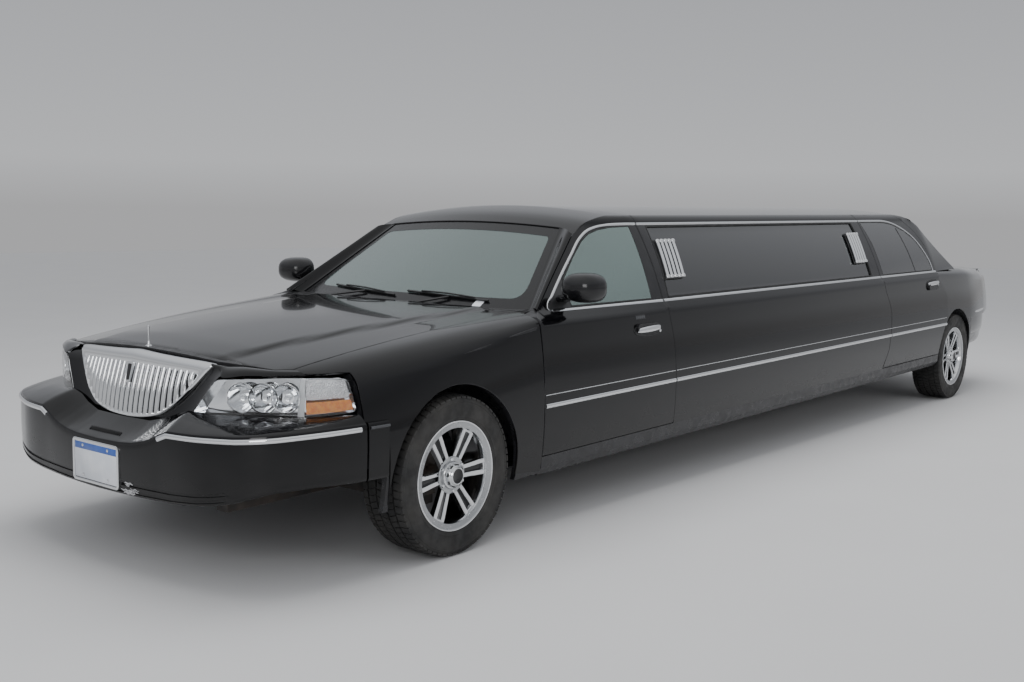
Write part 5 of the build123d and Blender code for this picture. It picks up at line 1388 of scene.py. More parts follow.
RIM_LOOKS = [WHEEL_CHROME, POLISHED_RIM, GLOSS_BLACK, CAST]
tyre_parts, rim_parts = tyre_bits(), rim_bits()
for axle, x in (("front", 0.0), ("rear", REAR_AXLE)):
    for side, word in ((1, "right"), (-1, "left")):
        end, body = f"{axle}_{word}", f"{axle}_wheel_{word}"
        placed(tyre_parts, x, side).piece(f"road_tyre_{end}", TYRE_RUBBER, body, 34, "tyre", [f"tyre_{end}"])
        placed(rim_parts, x, side).piece(f"road_rim_{end}", RIM_LOOKS, body, 34, "chrome", [f"rim_{end}"])


# ---------------------------------------------------------------- roof, pillars and screens
ROOF_LINE = [(1060, 1294), (1153, 1344), (1291, 1407), (1395, 1430), (1480, 1440), (1651, 1441), (5223, 1441),
             (5400, 1427), (5514, 1403), (5588, 1380), (5700, 1338)]


def seam_z(x):
    return blend(ROOF_LINE, x)[..., 0]


def seam_y(x):
    return side_y(x, seam_z(x))


def roof_z(x, y):
    return seam_z(x) + (ROOF_TOP - ROOF_SEAM) * (1 - (y / seam_y(x)) ** 2)


def screen_z(spec, x, y):
    """Level height of a screen's outer face at a place in plan."""
    lean = (spec["head"] - spec["foot"]) / (spec["head_z"] - spec["foot_z"])
    return spec["foot_z"] + (x - spec["foot"] - spec["way"] * y * y / spec["bow"]) / lean


ROOF_SKIN = height_skin(roof_z, 1, (25.0, 12.0))
ROOF_HEAD, ROOF_HEAD_BOW, HEAD_HALF = 1176.0, 20.0, 590.0


def roof_tail(y):
    """Station of the roof's rear edge, a little above the back window."""
    low, high = 5350.0, 5640.0
    for _ in range(30):
        x = (low + high) / 2
        over_glass = float(roof_z(np.float64(x), y) - screen_z(BACK, x, y))
        low, high = (low, x) if over_glass > 5 else (x, high)
    return high


ROOF_STATIONS = [1160, 1200, 1240, 1291, 1340, 1395, 1440, 1480, 1560, 1651, 2400, 3200, 4000, 4800, 5223,
                 5300, 5400, 5460]
sides = [(float(x), float(seam_y(np.float64(x))) - 3) for x in ROOF_STATIONS]
roof_front = [(ROOF_HEAD + ROOF_HEAD_BOW * (y / HEAD_HALF) ** 2, y)
              for y in np.linspace(-HEAD_HALF, HEAD_HALF, 25)]
roof_rear = [(roof_tail(y), y) for y in np.linspace(640, -640, 27)]
roof_ring = roof_front + sides + roof_rear + [(x, -y) for x, y in reversed(sides)]
roof_part = patch(ROOF_SKIN, roof_ring, step=46, out=0.5, lip=9, radius=3)
single("roof_skin", roof_part, PAINT, slot="paint", stands_for=["roof"])


def pillar(glass, edge, away):
    """A pillar's face, from the screen's edge round to the body side."""
    rows, columns = len(glass), 12
    verts = []
    for g, (x, z) in zip(glass, edge):
        p, q = SIDE.at([(x, z)], 0.9)[0][0], SIDE.at([(x + away[0], z + away[1])], 0.9)[0][0]
        g = np.array(g, float)
        chord = np.linalg.norm(p - g)
        leave, reach = unit(q - p) * chord, unit(np.array([0.25 * np.sign(away[0]) * -1, 1.0, -0.12])) * chord
        for s in np.linspace(0, 1, columns):
            verts.append(hermite(s, p, g, leave, -reach))
    shape = np.array(verts).reshape(rows, columns, 3)
    rim = shape[:, -1] + (6 * np.sign(away[0]) * -1, 0, -14)
    edge_in = shape[:, 0] + np.array([0, -12, 0])
    return sheet(np.concatenate([edge_in[:, None], shape, rim[:, None]], 1))


def screen_point(spec, y, z, out=4.0):
    x = screen_x(spec, y, z)
    return (x - spec["way"] * out * 0.56, y, z + out * 0.83 + lift(x))


glass = [screen_point(SCREEN, 788 + (HEAD_HALF - 788) * k, 1008 + (1367 - 1008) * k)
         for k in np.linspace(-0.03, 1.02, 18)]
edge = np.array(spline([(641.0, 1011.0), (770, 1098), (900, 1184), (1030, 1270), (1108, 1322), (1147, 1347)],
                       18))
verts, faces = pillar(glass, edge, (-3.0, 4.4))
pair("a_pillar", (verts, turned(faces)), PAINT, "car", 40, "paint")

# rear pillar: side face between the door and the back window, then its turn toward the glass
REAR_PILLAR_EDGE = [(6150, 1006), (6020, 1090), (5890, 1176), (5760, 1262), (5640, 1345), (5560, 1388)]
rear_edge = spline([(float(a), float(b)) for a, b in REAR_PILLAR_EDGE], 18)
door_side = [(R - 815, 1441), (R - 660, 1392), (R - 530, 1310), (R - 440, 1200), (R - 383, 1003)]
door_side = rounded([(R - 900, 1441)] + door_side, [0, 8, 60, 60, 60, 0])[1:]
door_side = [tuple(p) for p in grown(door_side + [(R - 900, 1003)], GAP)[:-1]]
seam_side = [(x, float(seam_z(np.float64(x)))) for x in (5460, 5400, 5300, 5225)]
ring = [p for p in door_side if p[1] < 1440] + [(R - 378, 1004)] + [tuple(p) for p in rear_edge] + seam_side
pair("rear_pillar_side", patch(SIDE, ring, step=34, out=0.9, lip=6), PAINT, slot="paint")
glass = [screen_point(BACK, 735 + (634 - 735) * k, 1022 + (1424 - 1022) * k)
         for k in np.linspace(-0.02, 1.0, 18)]
pair("rear_pillar_turn", pillar(glass, rear_edge, (3.6, 3.4)), PAINT, "car", 40, "paint")


def screen_skin(spec):
    """Skin of a screen in (y, level height), facing out."""
    return Skin(lambda y, z: np.stack([screen_x(spec, y, z), y, z + lift(screen_x(spec, y, z))], -1),
                -spec["way"], (12, 12))


def screen_glass(name, spec, wide_foot, foot, wide_head, head, material, node, frit, bow=29.0):
    """A screen with its dark printed border, as two thin sheets."""
    skin = screen_skin(spec)
    top = [(y, head - bow * (y / wide_head) ** 2) for y in np.linspace(wide_head, -wide_head, 21)]
    ring = [(-wide_foot, foot), (0, foot - 6), (wide_foot, foot)] + top
    bits = Bits().add(patch(skin, rounded(ring, [20, 0, 20] + [0] * 21), step=42, out=-1, thick=4.5))
    slope = (wide_foot - wide_head) / (head - bow - foot)
    left, up, down = frit

    def side_at(z):
        return wide_foot - (z - foot) * slope - left
    top_half = side_at(head - bow - up)
    hole_top = [(y, head - up - bow * (y / wide_head) ** 2) for y in np.linspace(top_half, -top_half, 17)]
    hole = [(-side_at(foot + down), foot + down), (side_at(foot + down), foot + down)] + hole_top
    hole = rounded(hole, [45, 45, 40] + [0] * 15 + [40])
    bits.add(patch(skin, rounded(ring, [20, 0, 20] + [0] * 21), [hole], step=42, out=-0.3, thick=0.5), 1)
    return bits.piece(name, [material, FRIT], slot="screen" if material is SCREEN_GLASS else "dark_glass",
                      stands_for=[node])


screen_glass("windscreen_glass", SCREEN, 800, 1000, 603, 1405, SCREEN_GLASS, "windshield", (58, 46, 46))
screen_glass("back_window", BACK, 726, 1034, 640, 1446, DARK_GLASS, "backlight", (20, 16, 24), 34.0)


sticker = patch(screen_skin(SCREEN), rectangle(-535, -487, 1006, 1030, 5), out=0.5, thick=0.6, step=20)
single("windscreen_sticker", sticker, PLATE_WHITE, "car", slot="plate")


# ---------------------------------------------------------------- side glass and brightwork
FRONT_PANE = rounded([(893, 1013), (917, 1136), (1060, 1236), (1186, 1315), (1262, 1349), (1346, 1369),
                      (1440, 1380), (1592, 1385), (1558, 1013)], [12, 12, 40, 60, 60, 60, 60, 12, 8])
REAR_PANE = rounded([(R - 1426, 1013), (R - 1437, 1233), (R - 1480, 1386), (R - 1200, 1385), (R - 1050, 1382),
                     (R - 905, 1366), (R - 740, 1318), (R - 612, 1252), (R - 515, 1153), (R - 468, 1078),
                     (R - 452, 1013)],
                    [8, 30, 12, 60, 60, 60, 80, 80, 60, 30, 10])


def side_glass(name, ring, material, body, node, slot, skin=SIDE_GLASS, grow=7, out=-0.5, thick=4.0):
    return pair(name, patch(skin, grown(ring, grow) if grow else ring, step=60, out=out, thick=thick),
                material, body, None, slot, [node] if node else [])


side_glass("front_door_glass", FRONT_PANE, SMOKE_GLASS, "front_door_{}", "glass_front_{}", "screen", SIDE, 0,
           2.0, 1.0)
side_glass("rear_door_glass", REAR_PANE, DARK_GLASS, "rear_door_{}", "glass_rear_{}", "dark_glass", SIDE, 0,
           2.0, 1.0)
stretch_panes = side_glass("stretch_glass", stretch_window_ring, DARK_GLASS, "car", None, "dark_glass")
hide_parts("stretch_windows")


def strip(bits, points, width, height):
    """A bright strip along (x, level height) points of the side."""
    verts, n = SIDE.at(resampled(points, 30.0, closed=False), 0.9)
    bits.add(sweep(verts, half_round(width, height), n))


WINDOW_TRIM, BELT_TRIM, SIDE_TRIM = (13.0, 4.2), (17.0, 5.0), (19.0, 6.5)


# head line of each window, then the spans of belt trim, side trim and pin stripe
DOOR_HEAD = [(752, 1000), (733, 1002), (722, 1012), (731, 1028), (780, 1062), (912, 1152), (1060, 1248),
             (1186, 1328), (1262, 1362), (1346, 1382), (1440, 1392), (1560, 1396), (1647, 1396)]
REAR_HEAD = [(R - 1500, 1396), (R - 1200, 1396), (R - 1050, 1394), (R - 900, 1378), (R - 732, 1330),
             (R - 600, 1262), (R - 500, 1160), (R - 452, 1080), (R - 436, 1003)]
BRIGHT = {"front_door": (spline(DOOR_HEAD, 90), (740, 1647), (575, 1692), (575, 1690)),
          "rear_door": (spline(REAR_HEAD, 70), (R - 1481, R - 388), (R - 1396, R - 268), (R - 1394, R - 268)),
          "stretch": ([(1660, 1396), (R - 1512, 1396)], (1660, R - 1492), (1702, R - 1404), (1702, R - 1402))}
BODY_OF = {"front_door": "front_door_{}", "rear_door": "rear_door_{}", "stretch": "car"}


def brightwork(bits, head, *spans):
    strip(bits, head, *WINDOW_TRIM)
    for (x0, x1), z, size in zip(spans, (1001, 584, 634), (BELT_TRIM, SIDE_TRIM, (3.4, 1.6))):
        strip(bits, [(x0, z), (x1, z)], *size)


for name, lines in BRIGHT.items():
    pair(f"{name}_brightwork", lambda bits: brightwork(bits, *lines), CHROME, BODY_OF[name], 40, "chrome")

# dark covers of the posts between the windows
POSTS = {"front_door": [[(1560, 1013), (1594, 1385), (1647, 1385), (1647, 1013)]],
         "rear_door": [[(R - 1480, 1013), (R - 1500, 1386), (R - 1482, 1386), (R - 1438, 1233),
                        (R - 1427, 1013)]],
         "stretch": [[(1660, 1013), (1660, 1386), (1734, 1386), (1709, 1013)],
                     [(R - 1633, 1386), (R - 1512, 1386), (R - 1492, 1013), (R - 1623, 1013)]]}


def post_covers(bits, rings):
    for ring in rings:
        bits.add(patch(SIDE, rounded(ring, 10), step=40, out=1.9, lip=2, radius=1.0))


for name, rings in POSTS.items():
    pair(f"{name}_post_cover", lambda bits: post_covers(bits, rings), GLOSS_BLACK, BODY_OF[name], None,
         "black_plastic")


def seal(ring):
    verts, n = SIDE.at(resampled(grown(ring, -1.5), 24), 0.2)
    return sweep(verts, [(-4.5, -6), (4.5, -6), (4.5, 1.2), (2, 2.4), (-2, 2.4), (-4.5, 1.2)], n, closed=True)


for name, body, ring in (("front", "front_door_{}", FRONT_PANE), ("rear", "rear_door_{}", REAR_PANE),
                         ("stretch", "car", stretch_window_ring)):
    pair(f"{name}_window_seal", seal(ring), RUBBER, body, 50, "black_plastic")


def quarter_divider(bits):
    """Upright bar that parts the rear door's window."""
    line = spline([(R - 865, 1340), (R - 830, 1200), (R - 796, 1013)], 14)
    verts, n = SIDE.at(line, -0.4)
    bits.add(sweep(verts, [(-9, -2), (9, -2), (9, 3), (6, 4), (-6, 4), (-9, 3)], n))


pair("rear_window_divider", quarter_divider, GLOSS_BLACK, "rear_door_{}", 50, "black_plastic")


# ---------------------------------------------------------------- coach lamps, handles, mirrors
def coach_lamp(bits, corners):
    """Five slanted bright tubes between two caps, standing off the post."""
    (x0, z0), (x1, z1), (x2, z2), (x3, z3) = corners        # foot front, head front, head rear, foot rear
    n = 5
    for i in range(n):
        s = (i + 0.5) / n
        foot, head = np.array([(x0 + (x3 - x0) * s, z0 + 10), (x1 + (x2 - x1) * s, z1 - 10)])
        line = [tuple(foot + (head - foot) * k) for k in np.linspace(0, 1, 8)]
        r = (x3 - x0) / n / 2 - 8.6
        verts, nn = SIDE.at(line, 12.0)
        bits.add(sweep(verts, circle(r, 18), nn), 0)
        for k0, k1 in ((-0.01, 0.075), (0.925, 1.01)):
            cap = [tuple(foot + (head - foot) * k) for k in np.linspace(k0, k1, 6)]
            verts, nn = SIDE.at(cap, 12.5)
            bits.add(sweep(verts, circle(r + 4.2, 18), nn, scale=[0.72, 0.96, 1, 1, 0.96, 0.72]), 0)
    back = patch(SIDE, rounded([(x0 - 3, z0 + 6), (x1 - 3, z1 - 6), (x2 + 3, z2 - 6), (x3 + 3, z3 + 6)], 8),
                 step=40, out=3.0, lip=4, radius=1.5)
    bits.add(back, 1)


COACH = (((1726, 1100), (1748, 1314), (1942, 1314), (1919, 1100)),
         ((4182, 1100), (4202, 1316), (4392, 1316), (4372, 1100)))
for number, word in ((0, "front"), (1, "rear")):
    pair(f"coach_lamp_{word}", lambda b: coach_lamp(b, COACH[number]), [CHROME, BLACK], "car", 40, "chrome",
         ["coach_lamps"] if number == 0 else [])


def handle(bits, x0, x1, z0, z1):
    """Oval cup with its rim, the chrome pull across it and the lock."""
    cx, cz, hx, hz = (x0 + x1) / 2, (z0 + z1) / 2, (x1 - x0) / 2, 31.0
    turns = np.linspace(0, 2 * np.pi, 49)[:-1]
    bits.add(patch(SIDE, [(cx + hx * math.cos(a), cz + hz * math.sin(a)) for a in turns], step=30, out=1.4,
                   lip=3, radius=0.6), 1)
    edge, n = SIDE.at([(cx + hx * math.cos(a), cz + hz * math.sin(a)) for a in turns], 1.6)
    bits.add(sweep(edge, [(-3, -1), (3, -1), (2.4, 1.6), (-2.4, 1.6)], n, closed=True), 1)
    span = np.linspace(0, 1, 30)
    line = [(cx - hx * 0.80 + 1.60 * hx * k, cz + 3 + (z1 - z0) * (k - 0.5) * 0.4) for k in span]
    verts, n = SIDE.at(line, np.array([6 + 17 * math.sin(math.pi * k) ** 0.6 for k in span]))
    section = [(15 * math.cos(a), 6.5 * math.sin(a)) for a in np.linspace(0, 2 * np.pi, 17)[:-1]]
    bits.add(sweep(verts, section, n, scale=[0.62 + 0.38 * math.sin(math.pi * k) ** 0.5 for k in span]), 0)
    lock = revolve([(8.5, 0), (8.5, 3), (6, 4.5), (0.1, 5)][::-1], 20)
    bits.add(shifted(lock, SIDE.at([(cx + hx * 0.82, cz - 12)], 1.5)[0][0]))


pair("front_door_handle", lambda b: handle(b, 1317, 1577, 859, 876), [CHROME, BLACK], "front_door_{}", 40,
     "chrome")
pair("rear_door_handle", lambda b: handle(b, 5357, 5631, 905, 922), [CHROME, BLACK], "rear_door_{}", 40,
     "chrome")


def keypad(bits):
    for k in range(5):
        x = 1350 + k * 17
        ring = rectangle(x - 7, x + 7, 926, 940, 3)
        bits.add(patch(SIDE, ring, step=30, out=2.6, lip=2, radius=0.5), 1)
    ring = rectangle(1338, 1430, 921, 945, 8)
    bits.add(patch(SIDE, ring, step=30, out=1.7, lip=2, radius=0.6))


keypad_bits = Bits()
keypad(keypad_bits)
keypad_bits.piece("door_keypad", [GLOSS_BLACK, GREY], "front_door_left", 40, "black_plastic", (), -1)


def superellipse(rx, rz, n=2.6, steps=32):
    out = []
    for i in range(steps):
        a = 2 * math.pi * i / steps
        c, s = math.cos(a), math.sin(a)
        out.append((rx * math.copysign(abs(c) ** (2 / n), c), rz * math.copysign(abs(s) ** (2 / n), s)))
    return out


def mirror(bits):
    """Oval mirror shell with its glass, on a sail arm; the front is -x."""
    up = lift(800)
    cx, cy, cz = 806.0, 1012.0, 1112.0 + up
    loops = [(-72, 0.16), (-69, 0.4), (-60, 0.62), (-45, 0.80), (-22, 0.93), (8, 0.99), (42, 1.0),
             (64, 0.985), (68, 0.955), (66, 0.92)]
    verts = []
    for x, k in loops:
        verts += [(cx + x, cy + y * k, cz + z * k) for y, z in superellipse(101, 70)]
    faces = quads(len(loops), 32, wrap_columns=True) + [tuple(range(32))]
    bits.add((verts, turned(faces)))
    glass = [(cx + 65.5, cy + y * 0.925, cz + z * 0.925) for y, z in superellipse(101, 70)]
    bits.add((glass, [tuple(range(32))[::-1]]), 1)
    arm = [(846, 866, 1050 + up), (838, 900, 1058 + up), (826, 940, 1066 + up), (812, 975, 1078 + up)]
    section = [(-34, -16), (34, -16), (40, -4), (36, 12), (10, 20), (-20, 18), (-38, 6), (-40, -6)]
    bits.add(sweep(spline(arm, 10), section, (0, 0, 1), scale=np.linspace(1.0, 0.8, 10)))


pair("mirror_shell", mirror, [GLOSS_BLACK, MIRROR], "front_door_{}", 38, "black_plastic", ["mirror_{}"])


def mirror_sail(bits):
    """Triangular cover in the front corner of the window, that carries the arm."""
    ring = rounded([(700, 1010), (760, 1060), (905, 1150), (918, 1085), (890, 1010)], 8)
    bits.add(patch(SIDE, ring, step=40, out=1.6, lip=6, radius=1.0))


pair("mirror_sail", mirror_sail, BLACK, "front_door_{}", None, "black_plastic")


# ---------------------------------------------------------------- tail
quarter_front = [(R - 378, 1003), (R - 393, 945), (R - 312, 878), (R - 248, 818), (R - 233, 770),
                 (R - 259, 690)]
quarter_front = rounded([(R - 378, 1030)] + quarter_front + [(R - 259, 600)],
                        [0, 8, 10, 20, 20, 12, 20, 0])[1:-1]
rear_arch = [p for p in arch_ring(R, ARCH, 300, 300, 60) if p[0] > R - 258 and (p[0] < R or p[1] > 590)]
quarter_low = spaced([(rear_arch[-1][0] + 3, 590), (R + 600, 590), (TAIL - 78, 590)], 40)
lid_side = spaced([(TAIL - 84, 646), (TAIL - 300, 741), (R + 296, 741)], 30)
quarter_rear = quarter_low + [(TAIL - 76, 760), (TAIL - 76, 850)]
ring = on_end(tail_end, quarter_front + rear_arch + quarter_rear) \
    + along_top(tail_end, lid_side + [(R + 296, 741), (R + 200, 880)]) \
    + on_end(tail_end, [(R + 60, 1001), (R - 150, 1003)])
pair("quarter_skin", patch(TAIL_SKIN, ring, step=36, out=0.9, lip=8), PAINT, slot="paint")


LID_REAR, LID_CORNER = TAIL - 39, 656
lid_front = [(R + 301, y) for y in (-733, *np.linspace(-600, 600, 13), 733)]
lid_rear = [(LID_REAR, y) for y in np.linspace(LID_CORNER, -LID_CORNER, 17)]
lid_ring = lid_front + [(TAIL - 300, 733)] + lid_rear + [(TAIL - 300, -733)]
single("decklid_skin", patch(LID_SKIN, lid_ring, step=40, out=0.9, lip=10), PAINT, "decklid", slot="paint")


def tail_point(y, z):
    """The tail's almost flat face at a place across it and a level height."""
    x = TAIL - 36 - (y / 760) ** 2 * 2.5 - (z - 760) ** 2 / 14000
    return np.stack([x, y, z + lift(TAIL)], -1)


def lid_edge(y, below):
    return float(tail_top(LID_REAR, y)) - below


FACE = Skin(tail_point, 1, (12.0, 8.0))
face_top = [(y, lid_edge(y, 2.5)) for y in np.linspace(LID_CORNER, -LID_CORNER, 21)]
face_corner = [(598, 764), (598, lid_edge(598, 30)), (LID_CORNER, lid_edge(LID_CORNER, 28))]
face_ring = [(-598, 764)] + face_corner + face_top + [(-y, z) for y, z in face_corner[:0:-1]]
single("decklid_face", patch(FACE, face_ring, step=40, out=1.5, lip=14, radius=1.5), PAINT, "decklid",
       slot="paint")

# rear lamps: one long lamp across each side below the lid, stepping up beside it
def rear_lamp(bits):
    outline = [(340, 650), (735, 650), (746, 700), (735, 872), (700, 884), (614, 884), (608, 752), (470, 742),
               (340, 738)]
    ring = rounded(outline, [14, 22, 20, 24, 20, 16, 14, 20, 14])
    bits.add(patch(FACE, ring, step=30, out=16.0, lip=50, radius=6))
    for k in range(9):
        y = 372 + k * 40
        line = [(y, 662), (y + 2, 738)]
        verts, n = FACE.at(line, 4.0)
        bits.add(sweep(verts, [(-14, -2), (14, -2), (14, 2), (0, 5), (-14, 2)], n), 1)


pair("rear_lamp_lens", rear_lamp, [RED_GLASS, RED_CORE], "car", 40, "red_lens", ["taillamps"])


def reverse_lamp(bits):
    bits.add(patch(FACE, rounded([(628, 700), (716, 700), (712, 742), (628, 742)], 10), step=24, out=14.0,
                   lip=4, radius=2))


pair("reversing_lamp", reverse_lamp, LAMP_WHITE, "car", None, "lamp_glass")
middle = patch(FACE, rectangle(-330, 330, 650, 748, 10), step=40, out=8.0, lip=20, radius=4)
single("tail_centre_panel", middle, RED_CORE, slot="red_lens")
verts, n = FACE.at([(y, 772) for y in np.linspace(-590, 590, 40)], 4.0)
single("decklid_bar", sweep(verts, half_round(20, 9), n), CHROME, "decklid", 40, "chrome")
lock = revolve([(0.1, 9), (9, 9), (12, 7), (13, 0)][::-1], 24)
lock = shifted(moved(lock, Matrix.Rotation(math.radians(-90), 4, "Z")), FACE.at([(0.0, 838.0)], 2.0)[0][0])
single("decklid_lock", lock, CHROME, "decklid", 40, "chrome")

# rear bumper: cover round the tail with its bright strip
TAIL_LIFT = lift(TAIL - 100)
rear_plan = np.array([(R + 230, 976), (R + 405, 967), (R + 700, 935), (R + 1000, 871), (R + 1180, 803),
                      (R + 1290, 712), (R + 1345, 578), (R + 1378, 360), (TAIL - 1, 0)], float)
half_plan = spline(rear_plan, 48)
rear_wall = np.concatenate([half_plan, half_plan[-2::-1] * (1, -1)])


def rear_loop(inset, z):
    """A line of the rear bumper at a level height, moved inward."""
    d = unit(np.gradient(rear_wall, axis=0))
    inward = np.stack([-d[:, 1], d[:, 0]], 1)
    if np.dot(inward[47], (1, 0)) > 0:
        inward = -inward
    p = rear_wall + inward * inset
    return np.concatenate([p, np.full((len(p), 1), z + TAIL_LIFT)], 1)


profile = [(60, 638), (46, 640), (14, 640), (4, 637), (0.5, 628), (-0.0, 600), (0.0, 520), (3, 470), (8, 446),
           (13, 440), (13, 434), (17, 425), (22, 385), (30, 358), (40, 347), (60, 344)]
STRIP_PROUD = 6.0
cover = np.array([rear_loop(i, z) for i, z in profile])
arch_x = R + np.sqrt(np.maximum((ARCH + 14) ** 2 - (cover[:, :, 2] - AXLE_Z) ** 2, 0))
cover[:, :, 0] = np.minimum(np.maximum(cover[:, :, 0], arch_x), TAIL - STRIP_PROUD)
verts, faces = sheet(cover)
single("rear_bumper_cover", (verts, turned(faces)), PAINT, "car", 32, "paint", ["rear_bumper"])
strip_line = rear_loop(-0.5, 622)
strip_line[:, 0] = np.minimum(strip_line[:, 0], TAIL - STRIP_PROUD - 0.3)
strip_line = strip_line[strip_line[:, 0] > R + 300]
d = unit(np.gradient(strip_line, axis=0))
outward = np.stack([d[:, 1], -d[:, 0], np.zeros(len(d))], 1)
if outward[len(outward) // 2][0] < 0:
    outward = -outward
single("rear_bumper_strip", sweep(strip_line, half_round(18, STRIP_PROUD), outward), CHROME, "car", 40,
       "chrome")
for name, spec in (("rear_plate_recess", ((-190, 190), (462, 606), 1.2, BLACK)),
                   ("rear_plate", ((-152, 152), (470, 600), 5.0, PLATE_WHITE))):
    (y0, y1), (z0, z1), out, material = spec
    shape = soft_box(TAIL - 6, TAIL - 1.5 + out - 5.0, y0, y1, z0 + TAIL_LIFT, z1 + TAIL_LIFT, 2.0)
    single(name, shape, material, "car", 40, "plate" if "recess" not in name else "black_plastic")
side_reflector = soft_box(R + 1180, R + 1230, 795, 806, 560 + TAIL_LIFT, 590 + TAIL_LIFT, 3)
pair("rear_reflector", side_reflector, RED_CORE, angle=40, slot="red_lens")


# ---------------------------------------------------------------- cabin
def cushion(x0, x1, y0, y1, z0, z1, crown=18.0, channels=5, along_y=True, r=26.0):
    """An upholstered block: crowned top with stitched channels and rolled edges, as verts and faces."""
    nu, nv = 40, 26
    xs, ys = np.linspace(0, 1, nv), np.linspace(0, 1, nu)
    rows = []

    def height(u, v):
        soft = (1 - abs(2 * u - 1) ** 6) * (1 - abs(2 * v - 1) ** 6)
        across = u if along_y else v
        groove = abs(math.sin(math.pi * channels * across)) ** 0.45
        return soft * crown * (0.55 + 0.45 * groove)
    top = [[(x0 + (x1 - x0) * v, y0 + (y1 - y0) * u, z1 - crown + height(u, v)) for u in ys] for v in xs]
    top = np.array(top)
    rings = [top[0], top[:, -1][1:], top[-1][::-1][1:], top[:, 0][::-1][1:-1]]
    rim = np.concatenate(rings)
    centre = np.array([(x0 + x1) / 2, (y0 + y1) / 2, 0])
    verts, faces = top.reshape(-1, 3), turned(quads(nv, nu))
    layers = []
    for drop, grow in ((0, 0.0), (r * 0.4, 0.3), (r, 0.5), ((z1 - crown - z0) - r, 0.5),
                       ((z1 - crown - z0) - r * 0.3, 0.2), (z1 - crown - z0, -0.6)):
        away = unit((rim - centre) * (1, 1, 0))
        ring = rim + away * grow * 8
        ring[:, 2] = z1 - crown - drop
        ring[:, 0] = np.clip(ring[:, 0], x0, x1) if grow <= 0 else ring[:, 0]
        layers.append(ring)
    start = len(verts)
    body = np.concatenate(layers)
    side = quads(len(layers), len(rim), wrap_columns=True, start=start)
    floor_face = [tuple(range(start + (len(layers) - 1) * len(rim), start + len(layers) * len(rim)))]
    return np.concatenate([verts, body]), faces + side + floor_face


def leaned(part, x, z, degrees):
    """A cushion turned about a line across the car at (x, z)."""
    to_line = Matrix.Translation((x, 0, z))
    return moved(part, to_line @ Matrix.Rotation(math.radians(degrees), 4, "Y") @ to_line.inverted())


def fixed_normals(part):
    """A closed part with its faces turned outward."""
    verts, faces = np.asarray(part[0]), part[1]
    volume = 0.0
    middle_point = verts.mean(0)
    for f in faces:
        p = verts[list(f)] - middle_point
        for i in range(1, len(f) - 1):
            volume += np.dot(p[0], np.cross(p[i], p[i + 1]))
    return verts, faces if volume > 0 else turned(faces)


SEAT_ROWS, SEAT_COLUMNS = 14, 15
BENCH_START, BENCH_PITCH = 2306, 550          # side bench cushions, along x
REAR_START, REAR_PITCH = -722, 482            # rear bench cushions, along y
for side, word in ((1, "right"), (-1, "left")):
    y0, y1 = (140, 630) if side > 0 else (-630, -140)
    base = fixed_normals(leaned(cushion(1172, 1610, y0, y1, 420, 560, 26, 5), 1400, 500, 3.5))
    seat = Bits()
    seat.add(base)
    seat.add(fixed_normals(leaned(cushion(1205, 1575, y0 + 70, y1 - 70, 540, 574, 12, 5), 1400, 500, 3.5)))
    piece = seat.piece(f"front_seat_cushion_{word}", LEATHER, "car", 50, "leather")
    bits = Bits()
    face_rows = []
    for k in range(SEAT_ROWS):
        rise = k / (SEAT_ROWS - 1)
        for j in range(SEAT_COLUMNS):
            side_share = j / (SEAT_COLUMNS - 1)
            y = y0 + 14 + (y1 - y0 - 28) * side_share
            bolster = 26 * abs(2 * side_share - 1) ** 3
            dent = 5 * (1 - abs(math.sin(math.pi * 5 * rise)) ** 0.4)
            face_rows.append((1655 - bolster + dent + 10 * (2 * rise - 1) ** 4, y, 500 + 522 * rise))
    verts = np.array(face_rows)
    rear = verts * (0, 1, 1) + (1745, 0, 0)
    shell = np.concatenate([verts, rear])
    n, count = SEAT_COLUMNS, SEAT_ROWS * SEAT_COLUMNS
    faces = quads(SEAT_ROWS, n) + turned(quads(SEAT_ROWS, n, start=count))
    border = [*range(n), *range(2 * n - 1, count, n), *range(count - 2, count - n - 1, -1),
              *range(count - 2 * n, 0, -n)]
    faces += [(i, j, count + j, count + i) for i, j in zip(border, border[1:] + border[:1])]
    back = fixed_normals(leaned((shell, faces), 1700, 500, 9.5))
    bits.add(back)
    middle_y = (y0 + y1) / 2
    head = cushion(1690, 1772, middle_y - 130, middle_y + 130, 1046, 1180, 8, 1, r=16)
    bits.add(fixed_normals(leaned(head, 1700, 500, 9.5)))
    for dy in (-60, 60):
        post = [(1725 + k * 3.2 + 82, middle_y + dy, 1000 + k * 20) for k in range(5)]
        bits.add(sweep(post, circle(6, 10), (1, 0, 0)), 1)
    piece = bits.piece(f"front_seat_back_{word}", [LEATHER, CHROME], "car", 50, "leather")
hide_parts("front_seats")

# passenger cabin: side bench along the left, rear bench, bar cabinet along the right
bench = Bits()
for i in range(5):
    x0 = BENCH_START + i * BENCH_PITCH
    part = fixed_normals(cushion(x0, x0 + 546, -826, -332, 470, 672, 30, 6, along_y=False))
    bench.add(part)
side_base = soft_box(2302, 5056, -842, -345, 302, 470, 8)
bench.add(side_base, 1)
side_seat = bench.piece("side_bench_cushions", [LEATHER, TRIM_DARK], "car", 50, "leather", ["lounge_seats"])
bench_backs = Bits()
for i in range(5):
    x0 = BENCH_START + i * BENCH_PITCH
    part = cushion(x0, x0 + 546, -846, -752, 668, 958, 6, 6, along_y=False)
    bench_backs.add(fixed_normals(part))
side_backs = bench_backs.piece("side_bench_backs", LEATHER, "car", 50, "leather")
rear = Bits()
for i in range(3):
    y0 = REAR_START + i * REAR_PITCH
    rear.add(fixed_normals(cushion(5190, 5640, y0, y0 + 478, 540, 708, 28, 4)))
rear.add(soft_box(5312, 5700, -722, 722, 538, 560, 6), 1)
